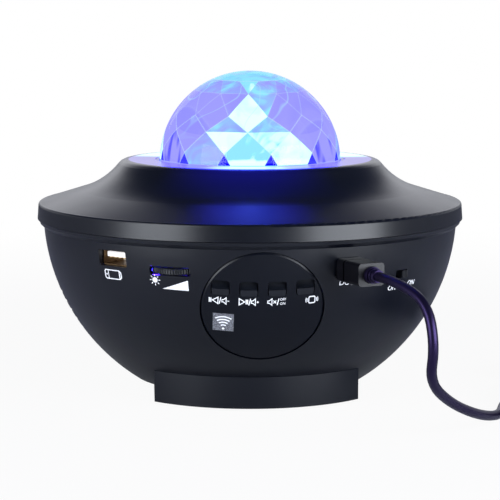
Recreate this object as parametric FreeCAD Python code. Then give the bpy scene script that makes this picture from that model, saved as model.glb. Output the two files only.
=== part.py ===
"""Star night light projector: a bowl-shaped lamp with a faceted dome, a turning ripple disc and a loudspeaker.

Millimetres, +Z up. The origin is on the axis of the bowl, on the surface that the rubber feet stand on.
The control panel faces -Y. Azimuths are in degrees from -Y, positive towards +X.
"""

import FreeCAD, Part
import math
import os

# Overall sizes
LIP_RADIUS = 84.45
BOWL_HEIGHT = 66.0
COVER_HEIGHT = 22.8
WALL = 2.2
FIT = 0.3

# Bowl
BOWL_ARC_RADIUS = BOWL_HEIGHT + 13.36
BOWL_ARC_ABOVE_SEAM = 3.05
BOWL_UNDER_LIP = 2.3
BOWL_FLOOR_Z = 4.0
FLANGE_HEIGHT = 1.3
FLANGE_STEP = 1.4
FLANGE_SETBACK = 0.7
TONGUE_HEIGHT = 2.2
TONGUE_WALL = 1.3

# Dome
DOME_RADIUS = 35.95
DOME_CENTRE_DROP = 1.1
DOME_WALL = 1.7
DOME_FACETS = 12
FACET_TURN = -5.0
RIM_CORNER_OFFSET = 4.3
FACET_RING_SHARES = (0.032, 0.155, 0.388, 0.555, 0.788, 0.914)
DOME_FLANGE_WIDTH = 2.2
DOME_FLANGE_THICKNESS = 2.0
DOME_RING_THICKNESS = 2.2
RING_SCREW_AZIMUTHS = [0, 120, 240]

# Cover
LIP_HEIGHT = 5.4
LIP_DRAFT = 0.4
BRIM_ROUND = 1.1
BRIM_SLOPE = 17.0
FLANK_RADIUS = 30.85
FLANK_END_SLOPE = 51.0
COLLAR_RADIUS = DOME_RADIUS + 16.25
COLLAR_ROUND = 4.0
COLLAR_RING_WIDTH = 1.6
COLLAR_RING_DEPTH = 0.35

# Foot
PAD_HEIGHT = 1.0
PAD_RADIUS = 5.0
PAD_DEPTH = 1.0
PAD_X = 29.0
PAD_Y = 38.0
FOOT_ARC_RADIUS = 58.1
FOOT_HALF_WIDTH = 38.9
FOOT_HEIGHT = 16.0
FOOT_WALL = 2.6
FOOT_FLOOR = 2.6

# Control panel and its keys
PANEL_RADIUS = 22.2
PANEL_Z = 41.0
PANEL_THICKNESS = 2.0
PANEL_GAP = 0.4
PANEL_LEDGE = 1.8
PANEL_EDGE = 0.4
KEY_PITCH = 0.4595 * PANEL_RADIUS
KEY_WIDTH = 0.275 * PANEL_RADIUS
KEY_HEIGHT = 0.225 * PANEL_RADIUS
KEY_TAB_HEIGHT = 2.3
KEY_TRAVEL = 0.6
KEY_V = 0.4 * PANEL_RADIUS
KEY_GAP = 0.3
KEY_FLANGE_DEPTH = 5.3
BOARD_THICKNESS = 1.6
KEY_BOARD_DEPTH = 10.4
POST_US = (-8.0, 8.0)
POST_V = -9.0
KEY_PROUD = 0.45
KEY_SCOOP_LIFT = 0.2
KEY_SWITCH_LIMIT = 13.6

# Ports in the wall: azimuth and height below the seam
USB_AZIMUTH = -41.8
USB_BELOW_SEAM = 8.55
USB_WIDTH = 13.1
USB_HEIGHT = 5.7
USB_DEPTH = 14.0
DIAL_AZIMUTH = -24.4
DIAL_BELOW_SEAM = 11.6
DIAL_RADIUS = 9.0
DIAL_THICKNESS = 2.2
DIAL_PROUD = 1.2
DIAL_RIBS = 56
DIAL_RIB_DEPTH = 0.25
SLOT_WIDTH = 16.1
SLOT_HEIGHT = 3.4
SOCKET_AZIMUTH = 22.5
SOCKET_BELOW_SEAM = 10.9
SWITCH_AZIMUTH = 41.0
SWITCH_BELOW_SEAM = 15.2
SWITCH_TRAVEL = 2.5
SWITCH_KNOB_WIDTH = 3.0
SWITCH_KNOB_HEIGHT = 2.6
BOARD_TOP_BELOW_SEAM = 11.4
BOARD_INNER_RADIUS = 50.0
BOARD_SETBACK = 3.2
BOARD_POST_RADIUS = 60.0
BOARD_POST_AZIMUTHS = [-54.0, -37.0, 33.0, 54.0]
BOARD_AZIMUTHS = (-57.0, 57.0)
PORT_SETBACK = 2.6
DIAL_SHAFT_RADIUS = 2.0
POT_RADIUS = 4.4
RECESS_DEPTH = 3.0
SOCKET_WIDTH = 8.6
TIP_WIDTH = 6.8
TIP_HEIGHT = 1.8
SWITCH_DEPTH = 5.2

# Loudspeaker
SPEAKER_AZIMUTH = -90.0
SPEAKER_Z = 31.0
SPEAKER_RADIUS = 20.0
CONE_RADIUS = 14.5
CONE_TRAVEL = 0.8
GRILLE_PITCH = 4.0
GRILLE_SLOT = 1.8
GRILLE_ROWS = 4
GASKET_THICKNESS = 1.0

# Light engine
PILLAR_RADIUS = DOME_RADIUS + 6.05
PILLAR_OUTER = 4.2
PILLAR_BORE = 3.0
SCREW_RADIUS = 1.5
DECK_BELOW_SEAM = 4.0
DECK_THICKNESS = 2.5
DECK_RADIUS = 37.0
DISC_TEETH = 40
PINION_TEETH = 10
TOOTH_MODULE = 1.5
TOOTH_BACKLASH = 0.35
DISC_THICKNESS = 2.4
DISC_ABOVE_DECK = 12.0
PIVOT_RADIUS = 1.5
SHAFT_CLEARANCE = 0.05
LED_Y = -14.5
LASER_X = -11.0
LASER_Y = 12.0
MOTOR_RADIUS = 11.0
MOTOR_HEIGHT = 12.0
LASER_RADIUS = 4.0
PRESSURE_ANGLE = 25.0
RIPPLES = 18
RIPPLE_RADIUS = 7.0
RIPPLE_DEPTH = 0.7
MOTOR_SHAFT_RADIUS = 1.5

# Supply cable
CABLE_RADIUS = 1.8
PLUG_WIDTH = 10.4
PLUG_HEIGHT = 8.2
PLUG_STAND = 1.1
PLUG_LENGTH = 17.0
PLUG_RELIEF_LENGTH = 5.0
NOSE_WIDTH = 8.6
NOSE_HEIGHT = 6.6
FIRST_RUN = 12.0
LAST_RUN = 16.0
CABLE_ROUTE = [
    (52.6, -120.4, 51.0),
    (54.4, -126.0, 37.0),
    (53.6, -120.6, 23.6),
    (63.0, -108.6, 13.6),
    (75.4, -96.6, 6.4),
    (86.0, -80.6, 2.4),
]
COIL_X = 123.9
COIL_Y = -55.4
COIL_START = 159.0
COIL_MEAN_RADIUS = 21.6
COIL_GAP = 0.45
COIL_TURNS = 3
TIE_THICKNESS = 0.5
COIL_LEAD = 3.6
TAIL_STRAIGHT = 8.0
TAIL_RAMP = 18.0
CORD_SIDES = 10
FAR_PLUG_WIDTH = 15.6
FAR_PLUG_HEIGHT = 8.4
TIE_ANGLE = 20.0

# Heights worked out from the sizes above
SEAM_Z = PAD_HEIGHT + BOWL_HEIGHT
COVER_TOP_Z = SEAM_Z + COVER_HEIGHT
DECK_Z = SEAM_Z - DECK_BELOW_SEAM
BOWL_ARC_Z = SEAM_Z + BOWL_ARC_ABOVE_SEAM
BOWL_ARC_R = LIP_RADIUS - BOWL_UNDER_LIP - BOWL_ARC_RADIUS
FLOOR_INNER_Z = BOWL_FLOOR_Z + WALL
BOARD_TOP_Z = SEAM_Z - BOARD_TOP_BELOW_SEAM
BOARD_BOTTOM_Z = BOARD_TOP_Z - BOARD_THICKNESS
DOME_CENTRE_Z = COVER_TOP_Z - DOME_CENTRE_DROP
COVER_UNDERSIDE_Z = COVER_TOP_Z - WALL
DISC_Z = DECK_Z + DECK_THICKNESS + DISC_ABOVE_DECK

RING_SCREW_RADIUS = DOME_RADIUS + DOME_FLANGE_WIDTH + 3.2
DOME_FLANGE_TOP = COVER_UNDERSIDE_Z - 0.1
DOME_FLANGE_BOTTOM = DOME_FLANGE_TOP - DOME_FLANGE_THICKNESS

V = FreeCAD.Vector
UP = V(0, 0, 1)
GEAR_DISTANCE = TOOTH_MODULE * (DISC_TEETH + PINION_TEETH) / 2
PINION_TIP = TOOTH_MODULE * (PINION_TEETH / 2 + 1)
MOTOR_AXIS = V(0, GEAR_DISTANCE, 0)
MOTOR_EARS = (-MOTOR_RADIUS - 3.0, MOTOR_RADIUS + 3.0)


def save(name, shape):
    """Writes one piece, or one group of like pieces, and prints its size."""
    shape.exportStep("parts/" + name + ".step")
    solids = shape.Solids
    volume = sum(s.Volume for s in solids)
    print(f"{name}: {len(solids)} solid(s), {volume:.1f} mm3, valid {shape.isValid()}")


def outline(start, *moves):
    """A closed face in the XZ plane; a move is a point for a line or a pair of points for an arc."""
    edges = []
    here = start
    for move in moves + (start,):
        if isinstance(move[0], tuple):
            through, end = move
            edges.append(Part.Arc(V(here[0], 0, here[1]), V(through[0], 0, through[1]), V(end[0], 0, end[1])).toShape())
        else:
            end = move
            if math.dist(here, end) > 1e-6:
                edges.append(Part.LineSegment(V(here[0], 0, here[1]), V(end[0], 0, end[1])).toShape())
        here = end
    return Part.Face(Part.Wire(edges))


def crown(radius, edge_z, top_z):
    """An arc move from the rim of a spherical cap to its top on the axis."""
    rise = top_z - edge_z
    ball = (radius * radius + rise * rise) / (2 * rise)
    through = (radius / 2, top_z - ball + math.copysign(math.sqrt(ball * ball - radius * radius / 4), rise))
    return through, (0, top_z)


def turned(start, *moves):
    """A solid of revolution about Z of an outline in (radius, height)."""
    return outline(start, *moves).revolve(V(0, 0, 0), UP, 360)


def tube(outer, inner, height, base=V(0, 0, 0), direction=UP):
    body = Part.makeCylinder(outer, height, base, direction)
    return body.cut(Part.makeCylinder(inner, height, base, direction))


def block(x, y, z, centre=V(0, 0, 0)):
    """A box centred in x and y whose underside is at the height of centre."""
    return Part.makeBox(x, y, z, centre - V(x / 2, y / 2, 0))


def rounded_block(x, y, z, radius, centre=V(0, 0, 0)):
    """A block whose four upright edges are rounded."""
    body = block(x, y, z, centre)
    upright = [e for e in body.Edges if abs(e.tangentAt(e.FirstParameter).z) > 0.99]
    return body.makeFillet(radius, upright)


def joined(shapes):
    whole = shapes[0]
    for shape in shapes[1:]:
        whole = whole.fuse(shape)
    return whole.removeSplitter()


def group(shapes):
    return Part.makeCompound(shapes)


def on_circle(radius, azimuth, z=0.0):
    a = math.radians(azimuth)
    return V(radius * math.sin(a), -radius * math.cos(a), z)


def bowl_radius(z, inset=0.0):
    """The radius of the bowl's outer surface at a height, or of one parallel to it."""
    return BOWL_ARC_R + math.sqrt((BOWL_ARC_RADIUS - inset) ** 2 - (z - BOWL_ARC_Z) ** 2)


def bowl_tilt(z):
    """How far the bowl's outward normal points down, in degrees."""
    return math.degrees(math.asin((BOWL_ARC_Z - z) / BOWL_ARC_RADIUS))


def wall_place(azimuth, z, tilt=0.0, inset=0.0):
    """A frame on the wall: x to the right seen from outside, y up along the wall, z outwards."""
    a = math.radians(azimuth)
    t = math.radians(tilt)
    out = V(math.sin(a), -math.cos(a), 0)
    right = V(math.cos(a), math.sin(a), 0)
    outward = out * math.cos(t) - UP * math.sin(t)
    upward = UP * math.cos(t) + out * math.sin(t)
    point = on_circle(bowl_radius(z), azimuth, z) - outward * inset
    return FreeCAD.Placement(point, FreeCAD.Rotation(right, upward, outward, "XYZ"))


def placed(shape, place):
    moved = shape.copy()
    moved.Placement = place.multiply(moved.Placement)
    return moved


def bowl_solid(inset, bottom, top):
    """The bowl's form as a full solid, a given distance inside its outer surface."""
    middle = (bottom + top) / 2
    return turned(
        (0, bottom),
        (bowl_radius(bottom, inset), bottom),
        ((bowl_radius(middle, inset), middle), (bowl_radius(top, inset), top)),
        (0, top),
    )


def screw(radius, length, head_radius, head_height):
    """A pan-head screw pointing down, its head's underside at the origin, with a cross recess."""
    body = Part.makeCylinder(radius, length, V(0, 0, -length))
    head = turned(
        (0, 0), (head_radius, 0), (head_radius, head_height * 0.6), (head_radius * 0.6, head_height), (0, head_height),
    )
    slot = block(head_radius * 1.1, head_radius * 0.25, head_height * 0.5, V(0, 0, head_height * 0.5))
    cross = slot.fuse(placed(slot, FreeCAD.Placement(V(0, 0, 0), FreeCAD.Rotation(UP, 90))))
    return joined([body, head]).cut(cross)


def pillars(azimuths, radius, outer, bottom, top):
    return [Part.makeCylinder(outer, top - bottom, on_circle(radius, a, bottom)) for a in azimuths]


PILLAR_AZIMUTHS = [45 + 90 * k for k in range(4)]
PANEL_TILT = bowl_tilt(PANEL_Z)
PANEL_PLACE = wall_place(0, PANEL_Z, PANEL_TILT)
KEY_US = [(k - 1.5) * KEY_PITCH for k in range(4)]
SPEAKER_TILT = bowl_tilt(SPEAKER_Z)
SPEAKER_PLACE = wall_place(SPEAKER_AZIMUTH, SPEAKER_Z, SPEAKER_TILT)
SPEAKER_SEAT = -(WALL + 4.2)
USB_PLACE = wall_place(USB_AZIMUTH, SEAM_Z - USB_BELOW_SEAM)
DIAL_PLACE = wall_place(DIAL_AZIMUTH, SEAM_Z - DIAL_BELOW_SEAM)
SOCKET_PLACE = wall_place(SOCKET_AZIMUTH, SEAM_Z - SOCKET_BELOW_SEAM)
SWITCH_PLACE = wall_place(SWITCH_AZIMUTH, SEAM_Z - SWITCH_BELOW_SEAM)
DIAL_CENTRE = on_circle(
    bowl_radius(SEAM_Z - DIAL_BELOW_SEAM) + DIAL_PROUD - DIAL_RADIUS, DIAL_AZIMUTH, SEAM_Z - DIAL_BELOW_SEAM
)


def grille_slots():
    """Rounded slots across a circle, the rows following the loudspeaker's rim."""
    slots = []
    for k in range(-GRILLE_ROWS, GRILLE_ROWS + 1):
        v = k * GRILLE_PITCH
        half = math.sqrt((SPEAKER_RADIUS - 2.2) ** 2 - v * v) - GRILLE_SLOT
        body = rounded_block(2 * half, GRILLE_SLOT, 16, GRILLE_SLOT * 0.48, V(0, v, -12))
        slots.append(body)
    return group(slots)


def lower_housing():
    """The bowl: an arc-sided shell with a flange and tongue at the seam, openings and bosses."""
    seam = SEAM_Z - FIT
    flange_r = LIP_RADIUS - FLANGE_SETBACK
    under = seam - FLANGE_HEIGHT
    arc_top = under - FLANGE_STEP
    arc_mid = (BOWL_FLOOR_Z + arc_top) / 2
    tongue_r = LIP_RADIUS - LIP_DRAFT - WALL - FIT
    shell = turned(
        (0, BOWL_FLOOR_Z),
        (bowl_radius(BOWL_FLOOR_Z), BOWL_FLOOR_Z),
        ((bowl_radius(arc_mid), arc_mid), (bowl_radius(arc_top), arc_top)),
        (flange_r - 0.3, under),
        (flange_r, seam),
        (tongue_r, seam),
        (tongue_r, seam + TONGUE_HEIGHT),
        (tongue_r - TONGUE_WALL, seam + TONGUE_HEIGHT),
        (bowl_radius(arc_top, WALL), arc_top - 1.0),
        ((bowl_radius(arc_mid, WALL), arc_mid), (bowl_radius(FLOOR_INNER_Z, WALL), FLOOR_INNER_Z)),
        (0, FLOOR_INNER_Z),
    )
    inside = bowl_solid(WALL * 0.5, BOWL_FLOOR_Z + 0.5, DECK_Z)
    speaker_ring = placed(
        tube(SPEAKER_RADIUS + 2.4, SPEAKER_RADIUS - 1.2, 14, V(0, 0, SPEAKER_SEAT)), SPEAKER_PLACE
    ).common(inside)
    ledge = placed(
        tube(PANEL_RADIUS + PANEL_GAP + 1.6, PANEL_RADIUS - PANEL_LEDGE, 14, V(0, 0, -10)), PANEL_PLACE
    )
    ledge = ledge.common(inside.cut(bowl_solid(PANEL_THICKNESS + 1.9, 1, DECK_Z)))
    key_room = block(4 * PANEL_RADIUS, KEY_HEIGHT + 3.0, 20, V(0, KEY_V, -14))
    ledge = ledge.cut(placed(key_room, PANEL_PLACE))
    key_room = key_room.common(Part.makeCylinder(PANEL_RADIUS + PANEL_GAP, 20, V(0, 0, -14)))
    posts = [
        post.common(inside)
        for post in pillars(PILLAR_AZIMUTHS, PILLAR_RADIUS, PILLAR_OUTER, FLOOR_INNER_Z - 0.5, DECK_Z)
    ]
    board_posts = [
        post.common(inside) for post in pillars(BOARD_POST_AZIMUTHS, BOARD_POST_RADIUS, 3.0, 10, BOARD_BOTTOM_Z)
    ]
    foot_posts = [
        Part.makeCylinder(3.2, 9, V(x, y, FLOOR_INNER_Z - 0.5)) for x, y in foot_screw_places()
    ]
    shell = joined([shell, speaker_ring, ledge] + posts + board_posts + foot_posts)
    cuts = []
    for azimuth in PILLAR_AZIMUTHS:
        cuts.append(Part.makeCylinder(PILLAR_BORE, DECK_Z - 4 - BOWL_FLOOR_Z, on_circle(PILLAR_RADIUS, azimuth, BOWL_FLOOR_Z)))
        cuts.append(Part.makeCylinder(SCREW_RADIUS + 0.15, 10, on_circle(PILLAR_RADIUS, azimuth, DECK_Z - 6)))
    for x, y in foot_screw_places():
        cuts.append(Part.makeCylinder(SCREW_RADIUS, 9, V(x, y, BOWL_FLOOR_Z - 1)))
    for azimuth in BOARD_POST_AZIMUTHS:
        cuts.append(Part.makeCylinder(1.05, 9, on_circle(BOARD_POST_RADIUS, azimuth, BOARD_BOTTOM_Z - 8)))
    cuts.append(placed(
        bowl_opening(PANEL_RADIUS + PANEL_GAP), PANEL_PLACE
    ).cut(bowl_solid(PANEL_THICKNESS + 0.1, 1, DECK_Z + 3)))
    cuts.append(placed(Part.makeCylinder(PANEL_RADIUS - PANEL_LEDGE, 16, V(0, 0, -12)), PANEL_PLACE))
    cuts.append(placed(key_room, PANEL_PLACE))
    cuts.append(placed(grille_slots(), SPEAKER_PLACE))
    cuts.append(placed(rounded_block(USB_WIDTH + 0.2, USB_HEIGHT + 0.2, 10, 0.6, V(0, 0, -WALL - 2)), USB_PLACE))
    cuts.append(placed(rounded_block(SLOT_WIDTH, SLOT_HEIGHT, 12, 1.2, V(0, 0, -9)), DIAL_PLACE))
    cuts.append(placed(
        rounded_block(NOSE_WIDTH + 0.8, NOSE_HEIGHT + 0.8, 12, 1.2, V(0, 0, -9)), SOCKET_PLACE
    ))
    slot_width = SWITCH_KNOB_WIDTH + SWITCH_TRAVEL + 2 * FIT
    slot_height = SWITCH_KNOB_HEIGHT + 2 * FIT
    cuts.append(placed(rounded_block(slot_width, slot_height, 12, 0.4, V(0, 0, -9)), SWITCH_PLACE))
    return shell.cut(cuts)


def bowl_opening(radius):
    return Part.makeCylinder(radius, 18, V(0, 0, -8))


def foot_screw_places():
    return [(x, y) for x in (-24.0, 24.0) for y in (-17.0, 17.0)]


def top_cover():
    """The brim and collar: a lip, a sloping brim, a hollow flank and a flat collar with the dome's hole."""
    lip_r = LIP_RADIUS - LIP_DRAFT
    lip_top = SEAM_Z + LIP_HEIGHT
    slope = math.radians(BRIM_SLOPE)
    end = math.radians(FLANK_END_SLOPE)
    brim_r = lip_r - BRIM_ROUND
    brim_z = lip_top + BRIM_ROUND * 0.85
    knee = (lip_r - BRIM_ROUND * 0.25, lip_top + BRIM_ROUND * 0.6)
    hole = DOME_RADIUS + FIT
    round_r = COLLAR_ROUND * math.sin(end)
    shoulder_z = COVER_TOP_Z - COLLAR_ROUND * (1 - math.cos(end))
    top_r = COLLAR_RADIUS - round_r
    crest = (top_r + COLLAR_ROUND * math.sin(end / 2), COVER_TOP_Z - COLLAR_ROUND * (1 - math.cos(end / 2)))
    centre_r = COLLAR_RADIUS + FLANK_RADIUS * math.sin(end)
    centre_z = shoulder_z + FLANK_RADIUS * math.cos(end)
    start = (centre_r - FLANK_RADIUS * math.sin(slope), centre_z - FLANK_RADIUS * math.cos(slope))
    half = (slope + end) / 2
    middle = (centre_r - FLANK_RADIUS * math.sin(half), centre_z - FLANK_RADIUS * math.cos(half))
    inner = FLANK_RADIUS + WALL
    inner_start = (centre_r - inner * math.sin(slope), centre_z - inner * math.cos(slope))
    inner_middle = (centre_r - inner * math.sin(half), centre_z - inner * math.cos(half))
    inner_end = (centre_r - inner * math.sin(end), centre_z - inner * math.cos(end))
    wall_r = lip_r - WALL
    ring_r = hole + COLLAR_RING_WIDTH
    return turned(
        (LIP_RADIUS, SEAM_Z),
        (lip_r, lip_top),
        (knee, (brim_r, brim_z)),
        start,
        (middle, (COLLAR_RADIUS, shoulder_z)),
        (crest, (top_r, COVER_TOP_Z)),
        (ring_r, COVER_TOP_Z),
        (ring_r, COVER_TOP_Z - COLLAR_RING_DEPTH),
        (hole, COVER_TOP_Z - COLLAR_RING_DEPTH),
        (hole, COVER_UNDERSIDE_Z),
        (inner_end[0] - 1.0, COVER_UNDERSIDE_Z),
        inner_end,
        inner_middle,
        inner_start,
        (wall_r, lip_top - WALL * 0.6),
        (wall_r, SEAM_Z),
    )


def cover_with_bosses():
    cover = top_cover()
    deck_top = DECK_Z + DECK_THICKNESS
    bosses = pillars(PILLAR_AZIMUTHS, PILLAR_RADIUS, 3.4, deck_top, COVER_UNDERSIDE_Z + 0.5)
    ring_posts = pillars(RING_SCREW_AZIMUTHS, RING_SCREW_RADIUS, 2.0, DOME_FLANGE_BOTTOM, COVER_UNDERSIDE_Z + 0.5)
    holes = pillars(PILLAR_AZIMUTHS, PILLAR_RADIUS, 1.35, deck_top, deck_top + 9)
    ring_holes = pillars(RING_SCREW_AZIMUTHS, RING_SCREW_RADIUS, 0.9, DOME_FLANGE_BOTTOM, COVER_UNDERSIDE_Z)
    return joined([cover] + bosses + ring_posts).cut(holes + ring_holes)


def dome_inner():
    """The faceted hollow of the dome, as rings of corners joined by flat facets.

    Twelve pentagons stand on the rim, with a small triangle between each two. Above them are a row of
    upside-down and upright triangles, a row of rhombi, and two rows of triangles up to a flat crown.
    """
    radius = DOME_RADIUS - DOME_WALL
    step = 360.0 / DOME_FACETS
    half = math.radians(step / 2)
    rim_turn = step / 2 - RIM_CORNER_OFFSET

    def ring(r, height, shift):
        return [on_circle(r, FACET_TURN + (k + shift) * step, DOME_CENTRE_Z + height) for k in range(DOME_FACETS)]

    def sphere_r(height):
        return math.sqrt(radius * radius - height * height)

    rim_h, low_h, mid_h, high_h, top_h, crown_h = [radius * share for share in FACET_RING_SHARES]
    rim_r = sphere_r(rim_h)
    mid_r = sphere_r(mid_h)
    top_r = sphere_r(top_h)
    pentagon_r = rim_r * math.cos(math.radians(rim_turn))
    low_r = (pentagon_r + (mid_r - pentagon_r) * (low_h - rim_h) / (mid_h - rim_h)) / math.cos(half)
    high_r = (mid_r + (top_r - mid_r) * (high_h - mid_h) / (top_h - mid_h)) / math.cos(half)
    rim_left = ring(rim_r, rim_h, -rim_turn / step)
    rim_right = ring(rim_r, rim_h, rim_turn / step)
    low = ring(low_r, low_h, 0.5)
    mid = ring(mid_r, mid_h, 0)
    high = ring(high_r, high_h, 0.5)
    top = ring(top_r, top_h, 0)
    crown = ring(sphere_r(crown_h), crown_h, 0.5)
    drop = V(0, 0, DOME_CENTRE_Z + rim_h - DOME_FLANGE_BOTTOM + 1.0)
    faces = []
    floor = []
    for k in range(DOME_FACETS):
        n = (k + 1) % DOME_FACETS
        b = (k - 1) % DOME_FACETS
        faces.append(facet(rim_left[k], rim_right[k], low[k], mid[k], low[b]))
        faces.append(facet(rim_right[k], rim_left[n], low[k]))
        faces.append(facet(low[k], mid[k], mid[n]))
        faces.append(facet(mid[k], mid[n], high[k]))
        faces.append(facet(mid[k], high[k], top[k], high[b]))
        faces.append(facet(high[k], top[k], top[n]))
        faces.append(facet(top[k], top[n], crown[k]))
        faces.append(facet(crown[b], top[k], crown[k]))
        faces.append(facet(rim_left[k], rim_right[k], rim_right[k] - drop, rim_left[k] - drop))
        faces.append(facet(rim_right[k], rim_left[n], rim_left[n] - drop, rim_right[k] - drop))
        floor += [rim_left[k] - drop, rim_right[k] - drop]
    faces.append(facet(*crown))
    faces.append(facet(*floor))
    return Part.makeSolid(Part.makeShell(faces))


def facet(*corners):
    return Part.Face(Part.makePolygon(list(corners) + [corners[0]]))


def dome_lens():
    """A clear dome with a smooth outside, a faceted inside, a skirt through the collar and a flange."""
    outside = turned(
        (0, DOME_FLANGE_BOTTOM),
        (DOME_RADIUS + DOME_FLANGE_WIDTH, DOME_FLANGE_BOTTOM),
        (DOME_RADIUS + DOME_FLANGE_WIDTH, DOME_FLANGE_TOP),
        (DOME_RADIUS, DOME_FLANGE_TOP),
        (DOME_RADIUS, DOME_CENTRE_Z),
        ((DOME_RADIUS * math.sqrt(0.5), DOME_CENTRE_Z + DOME_RADIUS * math.sqrt(0.5)), (0, DOME_CENTRE_Z + DOME_RADIUS)),
    )
    return outside.cut(dome_inner())


def dome_retaining_ring():
    top = DOME_FLANGE_BOTTOM
    bottom = top - DOME_RING_THICKNESS
    ring = tube(DOME_RADIUS + DOME_FLANGE_WIDTH + 0.2, DOME_RADIUS - DOME_WALL, DOME_RING_THICKNESS, V(0, 0, bottom))
    ears = pillars(RING_SCREW_AZIMUTHS, RING_SCREW_RADIUS, 3.2, bottom, top)
    ring = joined([ring] + ears)
    return ring.cut(pillars(RING_SCREW_AZIMUTHS, RING_SCREW_RADIUS, 1.2, bottom, top))


def dome_ring_screws():
    flipped = FreeCAD.Rotation(V(1, 0, 0), 180)
    seat = DOME_FLANGE_BOTTOM - DOME_RING_THICKNESS
    return group([
        placed(screw(0.85, 3.8, 2.0, 1.3), FreeCAD.Placement(on_circle(RING_SCREW_RADIUS, a, seat), flipped))
        for a in RING_SCREW_AZIMUTHS
    ])


def foot_outline_face(inset=0.0, z=PAD_HEIGHT):
    """The foot's plan: two arcs about the axis, cut off straight at both sides."""
    r = FOOT_ARC_RADIUS - inset
    x = FOOT_HALF_WIDTH - inset
    y = math.sqrt(r * r - x * x)
    edges = [
        Part.Arc(V(-x, -y, z), V(0, -r, z), V(x, -y, z)).toShape(),
        Part.LineSegment(V(x, -y, z), V(x, y, z)).toShape(),
        Part.Arc(V(x, y, z), V(0, r, z), V(-x, y, z)).toShape(),
        Part.LineSegment(V(-x, y, z), V(-x, -y, z)).toShape(),
    ]
    return Part.Face(Part.Wire(edges))


def base_foot():
    body = foot_outline_face().extrude(V(0, 0, FOOT_HEIGHT))
    hollow = foot_outline_face(FOOT_WALL, PAD_HEIGHT + FOOT_FLOOR).extrude(V(0, 0, FOOT_HEIGHT))
    bowl = bowl_solid(-0.1, BOWL_FLOOR_Z - 0.1, PAD_HEIGHT + FOOT_HEIGHT + 2)
    cuts = [hollow, bowl]
    cuts += [Part.makeCylinder(PAD_RADIUS + 0.2, PAD_DEPTH, V(x, y, PAD_HEIGHT)) for x, y in pad_places()]
    for x, y in foot_screw_places():
        cuts.append(Part.makeCylinder(3.3, 1.4, V(x, y, PAD_HEIGHT)))
        cuts.append(Part.makeCylinder(SCREW_RADIUS + 0.15, 4, V(x, y, PAD_HEIGHT)))
    return body.cut(cuts)


def pad_places():
    return [(x, y) for x in (-PAD_X, PAD_X) for y in (-PAD_Y, PAD_Y)]


def rubber_feet():
    height = PAD_HEIGHT + PAD_DEPTH
    pad = turned((0, 0), (PAD_RADIUS - 0.6, 0), (PAD_RADIUS, 0.6), (PAD_RADIUS, height), (0, height))
    return group([placed(pad, FreeCAD.Placement(V(x, y, 0), FreeCAD.Rotation())) for x, y in pad_places()])


def foot_screws():
    flipped = FreeCAD.Rotation(V(1, 0, 0), 180)
    return group([
        placed(screw(SCREW_RADIUS, 8.0, 2.8, 1.2), FreeCAD.Placement(V(x, y, PAD_HEIGHT + 1.4), flipped))
        for x, y in foot_screw_places()
    ])


def case_screws():
    flipped = FreeCAD.Rotation(V(1, 0, 0), 180)
    return group([
        placed(screw(1.3, 11.0, 2.7, 1.6), FreeCAD.Placement(on_circle(PILLAR_RADIUS, a, DECK_Z - 4), flipped))
        for a in PILLAR_AZIMUTHS
    ])


def key_window(grow=0.0):
    return rounded_block(KEY_WIDTH + 2 * grow, KEY_HEIGHT + 2 * grow, 12, 0.8 + grow, V(0, KEY_V, -9))


def control_panel():
    """A disc that follows the bowl's surface, with four key windows, their guides and two board posts."""
    skin = bowl_solid(0, 2, SEAM_Z).cut(bowl_solid(PANEL_THICKNESS, 1, SEAM_Z + 2))
    disc = placed(bowl_opening(PANEL_RADIUS), PANEL_PLACE).common(skin)
    inside = bowl_solid(PANEL_THICKNESS * 0.5, 2, SEAM_Z)
    guides = []
    windows = []
    for u in KEY_US:
        shift = FreeCAD.Placement(V(u, 0, 0), FreeCAD.Rotation())
        place = PANEL_PLACE.multiply(shift)
        guide = block(KEY_WIDTH + 2.4, KEY_HEIGHT + 2.4, KEY_FLANGE_DEPTH, V(0, KEY_V, -KEY_FLANGE_DEPTH + 0.2))
        guides.append(placed(guide, place).common(inside))
        windows.append(placed(key_window(KEY_GAP), place))
    sag = PANEL_RADIUS ** 2 / (2 * BOWL_ARC_RADIUS)
    edge = turned(
        (0, -20), (PANEL_RADIUS, -20), (PANEL_RADIUS, -sag - PANEL_EDGE), (0, PANEL_RADIUS - sag - PANEL_EDGE),
    )
    disc = disc.common(placed(edge, PANEL_PLACE))
    posts = [
        placed(Part.makeCylinder(2.2, KEY_BOARD_DEPTH - 1, V(x, POST_V, -KEY_BOARD_DEPTH)), PANEL_PLACE).common(inside)
        for x in POST_US
    ]
    holes = [
        placed(Part.makeCylinder(0.8, 6, V(x, POST_V, -KEY_BOARD_DEPTH)), PANEL_PLACE) for x in POST_US
    ]
    rim = placed(bowl_opening(PANEL_RADIUS - 0.5), PANEL_PLACE)
    guides = [guide.common(rim) for guide in guides]
    return joined([disc] + guides + posts).cut(windows + holes)


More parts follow.
